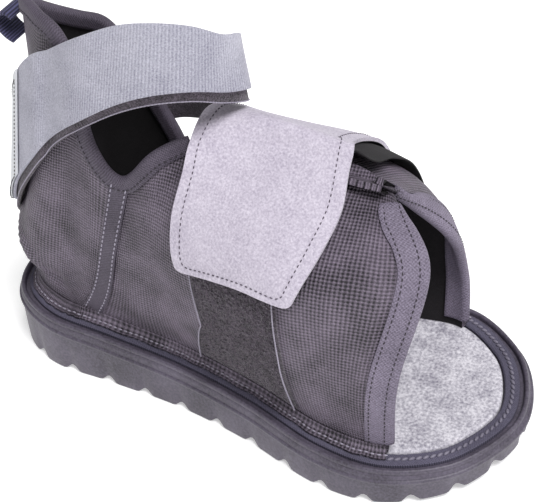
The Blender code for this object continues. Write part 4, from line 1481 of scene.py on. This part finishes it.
    def front_binding(self, name: str, node: str, rib: int, top: float) -> None:
        """The wide tape over the front edge of a quarter, with two rows of stitches.

        Args:
            name: The tape's name.
            node: The solid that it stands for.
            rib: The quarter's front rib.
            top: The level where the tape ends.
        """
        edge = [(float(rib), b) for b in np.linspace(self.binding_foot, top, self.binding_stations)]
        grid = self.folded_tape(edge, FRONT_BINDING_WIDTH, self.binding_columns)
        self.dress_fold(name, node, grid, UPPER.normal(*edge[len(edge) // 2]), TAPE)
        lines = [self.tape_line(edge, grid, column) for column in (1, self.binding_columns - 1)]
        self.stitch.sew(self.shop, f"{name}_stitches", lines, DARK_THREAD)

    def tape_line(
        self, edge: Sequence[tuple[float, float]], grid: np.ndarray, column: int
    ) -> list[np.ndarray]:
        """A line on a folded tape's outer face, along one of its columns."""
        lift = TAPE_THICKNESS + self.thread_sink
        return [row[column] + UPPER.normal(*edge[k]) * lift for k, row in enumerate(grid)]

    def dress_fold(
        self, name: str, node: str, grid: np.ndarray, outward: np.ndarray, finish: Finish
    ) -> None:
        """Add a folded tape, its faces turned by its outer side.

        Args:
            name: The piece's name.
            node: The solid that it stands for.
            grid: Its points, the outer side's columns first.
            outward: A direction out of the shoe at its middle.
            finish: What it is woven of.
        """
        faces = grid_faces(grid, outward, 1)
        item = self.shop.add(name, grid.reshape(-1, 3), faces, finish, [node], cloth_places(grid), math.pi)
        solid = item.modifiers.new("thickness", "SOLIDIFY")
        solid.thickness = TAPE_THICKNESS
        solid.offset = 1.0
        item.modifiers.new("even shading", "WEIGHTED_NORMAL")

    def collar(self) -> None:
        """The narrow tape over the collar and the quarters' top edges, with its stitches."""
        edge = [(a, float(LEVELS)) for a in np.linspace(*self.collar_ends, self.collar_stations)]
        grid = self.folded_tape(edge, COLLAR_BINDING_WIDTH, self.collar_columns)
        outward = UPPER.normal(*edge[len(edge) // 2])
        # The collar tape takes the binding tape's colour painted darker as shade.
        self.dress_fold("collar_tape", "collar_binding", grid, outward, SHADED_TAPE)
        self.stitch.sew(self.shop, "collar_stitches", [self.tape_line(edge, grid, 1)], DARK_THREAD)

    def seam_tape(self, name: str, node: str, rib: int) -> None:
        """The upright tape over the seam between a quarter and the heel panel, sewn along both sides.

        Args:
            name: The tape's name.
            node: The solid that it stands for.
            rib: The rib that the seam follows.
        """
        grid = []
        for b in np.linspace(*self.seam_ends, self.seam_stations):
            up = unit(UPPER.point(rib, b + 0.02) - UPPER.point(rib, b - 0.02))
            beside = np.cross(UPPER.normal(rib, b), up)
            shares = np.linspace(-0.5, 0.5, self.seam_columns)
            pairs = [UPPER.walk(rib, b, beside, SEAM_TAPE_WIDTH * share) for share in shares]
            grid.append([UPPER.lifted(*pair, self.close) for pair in pairs])
        outward = UPPER.normal(rib, LEVELS / 2)
        # The seam tape takes the binding tape's colour painted darker as shade.
        self.shop.cloth(name, grid, TAPE_THICKNESS, outward, SHADED_TAPE, [node])
        lift = outward * (TAPE_THICKNESS + 1.5 * self.thread_sink)
        lines = [[row[column] + lift for row in grid] for column in (1, self.seam_columns - 2)]
        self.coarse_stitch.sew(self.shop, f"{name}_stitches", lines, PALE_THREAD)

    def loop_patch(self) -> None:
        """The rough pile on the right quarter that the flap fastens to, with a pale sewn edge."""
        front, rear, rear_at_foot = self.patch_ribs
        low, high = self.patch_levels
        rows, columns = self.patch_grid
        base, tall = self.patch_pile
        pile = np.random.default_rng(self.patch_seed).random((rows, columns)) ** 1.5
        grid, edges = [], ([], [])
        for j, b in enumerate(np.linspace(low, high, rows)):
            slant = (rear_at_foot - rear) * max(0.0, 1 - b) ** 0.8
            row = []
            for k, a in enumerate(np.linspace(front, rear + slant, columns)):
                rim = min(1.0, min(k, columns - 1 - k, j, rows - 1 - j) / self.patch_skirt)
                row.append(UPPER.lifted(a, b, self.close + base + tall * pile[j, k] * rim))
            grid.append(row)
            for side, a in zip(edges, (front + 0.03, rear + slant - 0.03)):
                side.append(UPPER.lifted(a, b, self.close + 1.5 * MM))
        outward = UPPER.normal((front + rear) / 2, (low + high) / 2)
        self.shop.cloth("loop_pile_patch", grid, -0.5 * MM, outward, LOOP_PILE, ["loop_patch"])
        self.cord.sew(self.shop, "loop_patch_edges", edges, PALE_THREAD)


# Straps

@dataclass
class Flap:
    """The forefoot flap, its backing and its border of stitches."""

    shop: Workshop
    corner: float = 0.26
    trim: float = 0.075
    border: float = 0.085
    border_end: float = 8.2
    border_turn: float = 0.62
    border_tip: float = 0.30
    border_round: float = 0.06
    stitch: Seam = field(default_factory=lambda: Seam(2.5 * MM, 0.6, 0.30 * MM))

    def build(self) -> None:
        """Make the flap over its backing."""
        surface = flap_surface(FLAP_BACKING_THICKNESS + LAYER_GAP)
        surface.outward = math.copysign(1.0, surface.normal(5.0, 0.5)[2])
        stations = self.stations(0.0, surface.last_a, 110)
        grid = np.array([
            [surface.point(a, b) for b in np.linspace(self.trim * cut, 1 - self.trim * cut, 36)]
            for a, cut in stations
        ])
        up = np.array([0.0, 0.0, 1.0])
        flap = self.shop.cloth("brushed_flap", grid, FLAP_THICKNESS, up, TRICOT, ["forefoot_flap"], BACKING)
        under = flap_surface(0.0, FLAP_BACKING_REACH)
        lower = np.array([
            [under.point(a, b) for b in np.linspace(0.04, 0.985, 36)]
            for a in np.linspace(0.4, under.last_a, 100)
        ])
        backing = self.shop.cloth("flap_lining", lower, FLAP_BACKING_THICKNESS, up, BACKING, ["flap_backing"])
        self.border_stitches(surface)
        LOG.info("flap: flap, lining and border stitches")

    def stations(self, start: float, end: float, count: int) -> list[tuple[float, float]]:
        """Places along the flap, each with how much its rounded end takes off the width.

        Args:
            start: Where the flap begins.
            end: Where it ends.
            count: Places between the two.

        Returns:
            Each place with its share of the trim.
        """
        angles = np.linspace(0.0, 1.35, 10)
        first = [(start + self.corner * (1 - math.cos(t)), 1 - math.sin(t)) for t in angles]
        after = first[-1][0] + 0.06
        return first + [(a, 0.0) for a in np.linspace(after, end, count)]

    def border_stitches(self, surface: BandSurface) -> None:
        """The row of stitches a few millimetres inside the flap's edges, round its rounded end.

        Args:
            surface: The flap's inner face.
        """
        lift = FLAP_THICKNESS + 0.12 * MM
        near, far, turn = self.border, 1 - self.border, self.border_turn
        angles = np.linspace(0.0, math.pi / 2, 8)
        corner = [
            (turn - self.border_tip * math.sin(t), self.border_round * (1 - math.cos(t))) for t in angles
        ]
        run = [(a, near) for a in np.linspace(self.border_end, turn, 90)]
        run += [(a, near + rise) for a, rise in corner]
        straight = self.border_round + 0.02
        run += [(turn - self.border_tip, b) for b in np.linspace(near + straight, far - straight, 30)]
        run += [(a, far - rise) for a, rise in corner[::-1]]
        run += [(a, far) for a in np.linspace(turn, self.border_end, 90)]
        line = [surface.lifted(a, b, lift) for a, b in run]
        self.stitch.sew(self.shop, "flap_border_stitches", [line], GREY_THREAD)


@dataclass
class AnkleStrap:
    """The elastic ankle strap, its dark pile lining, the bare label and the pull loop."""

    shop: Workshop
    columns: int = 28
    stations: int = 260
    edge_seam: Seam = field(default_factory=lambda: Seam(1.6 * MM, 1.15, 0.34 * MM))
    label_seam: Seam = field(default_factory=lambda: Seam(2.2 * MM, 0.62, 0.3 * MM))
    label_run: tuple[float, float] = (0.1, 2.3)
    label_width: tuple[float, float] = (-0.08, 0.98)
    label_border: float = 0.1
    label_seam_width: tuple[float, float] = (0.0, 0.9)

    def build(self) -> None:
        """Make the strap's two layers, the label and the pull loop."""
        lining_lift = BINDING_GAP + TAPE_THICKNESS + GAP
        strap_lift = lining_lift + STRAP_LINING_THICKNESS + 2 * GAP
        count = len(STRAP_START) + len(STRAP_ARCH) + len(STRAP_END)
        places = np.linspace(0.0, count - 1, self.stations)
        layers = (
            ("elastic_strap", "ankle_strap", strap_lift, 0.0, STRAP_THICKNESS, ELASTIC),
            ("strap_pile_lining", "ankle_strap_lining", lining_lift, STRAP_LINING_DROP,
             STRAP_LINING_THICKNESS, LOOP_PILE),
        )
        for name, node, lift, lower, thickness, finish in layers:
            surface = strap_surface(lift, lower)
            grid = np.array([
                [surface.point(a, b) for b in np.linspace(0.0, 1.0, self.columns)] for a in places
            ])
            outward = surface.normal(STRAP_MIDDLE, 0.5)
            band = self.shop.cloth(name, grid.transpose(1, 0, 2), thickness, outward, finish, [node])
            if finish is LOOP_PILE:
                line = [surface.lifted(a, 0.02, thickness + 0.1 * MM) for a in places]
                self.edge_seam.sew(self.shop, "lining_edge_thread", [line], PALE_THREAD)
        self.label(strap_surface(strap_lift + STRAP_THICKNESS + 2 * GAP, 0.0))
        self.pull_loop()
        LOG.info("ankle strap: strap, lining, label and pull loop")

    def label(self, surface: BandSurface) -> None:
        """The bare patch sewn over the strap's end at the back of the heel.

        Args:
            surface: The face that the patch lies on.
        """
        grid = np.array([
            [surface.point(a, b) for b in np.linspace(*self.label_width, 24)]
            for a in np.linspace(*self.label_run, 36)
        ])
        self.shop.cloth("bare_label", grid, LABEL_THICKNESS, surface.normal(1.0, 0.5), SATIN, ["heel_label"])
        start, end = self.label_run[0] + self.label_border, self.label_run[1] - self.label_border
        low, high = self.label_seam_width
        run = [(a, low) for a in np.linspace(start, end, 24)]
        run += [(end, b) for b in np.linspace(low, high, 14)]
        run += [(a, high) for a in np.linspace(end, start, 24)]
        run += [(start, b) for b in np.linspace(high, low, 14)]
        line = [surface.lifted(a, b, LABEL_THICKNESS + 0.1 * MM) for a, b in run]
        self.label_seam.sew(self.shop, "label_stitches", [line], DARK_THREAD)

    def pull_loop(self) -> None:
        """The ribbon loop at the top of the heel."""
        back = UPPER.point(HEEL_BACK_RIB, LEVELS)
        top = UPPER.point(HEEL_BACK_RIB, LEVELS - 0.1)
        grid = []
        for k in np.linspace(0, len(PULL_LOOP_PROFILE) - 1, 60):
            forward, up = catmull(PULL_LOOP_PROFILE, k)
            x = back[0] + forward * SOLE_LENGTH
            z = top[2] + (up - PULL_LOOP_PROFILE[0][1]) * UPPER_HEIGHT
            grid.append([np.array([x, share * PULL_LOOP_WIDTH, z]) for share in np.linspace(-0.5, 0.5, 9)])
        table = np.array(grid).transpose(1, 0, 2)
        self.shop.cloth("ribbon_loop", table, PULL_LOOP_THICKNESS, np.array([-1.0, 0.0, 0.0]), RIBBON,
                        ["pull_loop"])


# Floor, light and camera

@dataclass
class Studio:
    """A white floor, soft light and the camera at the photograph's angle."""

    place: tuple[float, float, float] = (0.32430, -0.45972, 0.53561)
    right: tuple[float, float, float] = (0.87429527, 0.47307865, -0.10864797)
    above: tuple[float, float, float] = (-0.22800748, 0.59787055, 0.76848123)
    behind: tuple[float, float, float] = (0.42850948, -0.64710695, 0.63058086)
    lens: float = 105.64
    shift: tuple[float, float] = (-0.02534, -0.01847)
    world: float = 0.36
    key: float = 2.7
    key_from: tuple[float, float, float] = (0.50, -0.20, 1.0)
    key_spread: float = math.radians(25)
    floor_half: float = 4.0
    floor_glow: float = 0.40

    def build(self) -> None:
        """Set the floor, the lights, the world and the camera."""
        self.floor()
        self.lights()
        self.camera()
        bpy.context.scene.view_settings.view_transform = "Standard"
        LOG.info("studio: floor, lights and camera")

    def floor(self) -> None:
        """A wide white sheet of paper under the shoe."""
        half = self.floor_half
        mesh = bpy.data.meshes.new("paper_floor")
        mesh.from_pydata([(-half, -half, 0), (half, -half, 0), (half, half, 0), (-half, half, 0)], [],
                         [(0, 1, 2, 3)])
        floor = bpy.data.objects.new("paper_floor", mesh)
        bpy.context.scene.collection.objects.link(floor)
        paper = bpy.data.materials.new("white_paper")
        paper.use_nodes = True
        shader = paper.node_tree.nodes["Principled BSDF"]
        shader.inputs["Base Color"].default_value = linear("#F4F4F4")
        shader.inputs["Roughness"].default_value = 1.0
        shader.inputs["Emission Color"].default_value = (1.0, 1.0, 1.0, 1.0)
        shader.inputs["Emission Strength"].default_value = self.floor_glow
        mesh.materials.append(paper)

    def lights(self) -> None:
        """A pale world and a broad key light from above the toe."""
        world = bpy.data.worlds.new("studio_white")
        world.use_nodes = True
        background = world.node_tree.nodes["Background"]
        background.inputs["Color"].default_value = (1.0, 1.0, 1.0, 1.0)
        background.inputs["Strength"].default_value = self.world
        bpy.context.scene.world = world
        sun = bpy.data.lights.new("key", "SUN")
        sun.energy = self.key
        sun.angle = self.key_spread
        item = bpy.data.objects.new("key", sun)
        bpy.context.scene.collection.objects.link(item)
        item.matrix_world = self.looking(unit(np.array(self.key_from)))

    @staticmethod
    def looking(back: np.ndarray) -> Matrix:
        """A turn whose own Z points back.

        Args:
            back: The direction that the light comes from, of length one.

        Returns:
            The pose, at the origin.
        """
        right = unit(np.cross(np.array([0.0, 1.0, 0.0]), back))
        above = np.cross(back, right)
        pose = np.eye(4)
        pose[:3, 0], pose[:3, 1], pose[:3, 2] = right, above, back
        return Matrix(pose.tolist())

    def camera(self) -> None:
        """The camera at the photograph's viewing angle."""
        lens = bpy.data.cameras.new("camera")
        lens.lens = self.lens
        lens.sensor_width = 36.0
        lens.shift_x, lens.shift_y = self.shift
        lens.clip_start = 0.01
        item = bpy.data.objects.new("camera", lens)
        bpy.context.scene.collection.objects.link(item)
        columns = (self.right, self.above, self.behind, self.place)
        rows = [[column[row] for column in columns] for row in range(3)]
        item.matrix_world = Matrix([*rows, [0.0, 0.0, 0.0, 1.0]])
        bpy.context.scene.camera = item


def main() -> None:
    """Dress the shoe, piece by piece, and set the studio."""
    logging.basicConfig(level=logging.INFO)
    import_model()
    shop = Workshop()
    for part in (Sole(shop), Upper(shop), Flap(shop), AnkleStrap(shop), Studio()):
        part.build()


if __name__ == "__main__":
    main()
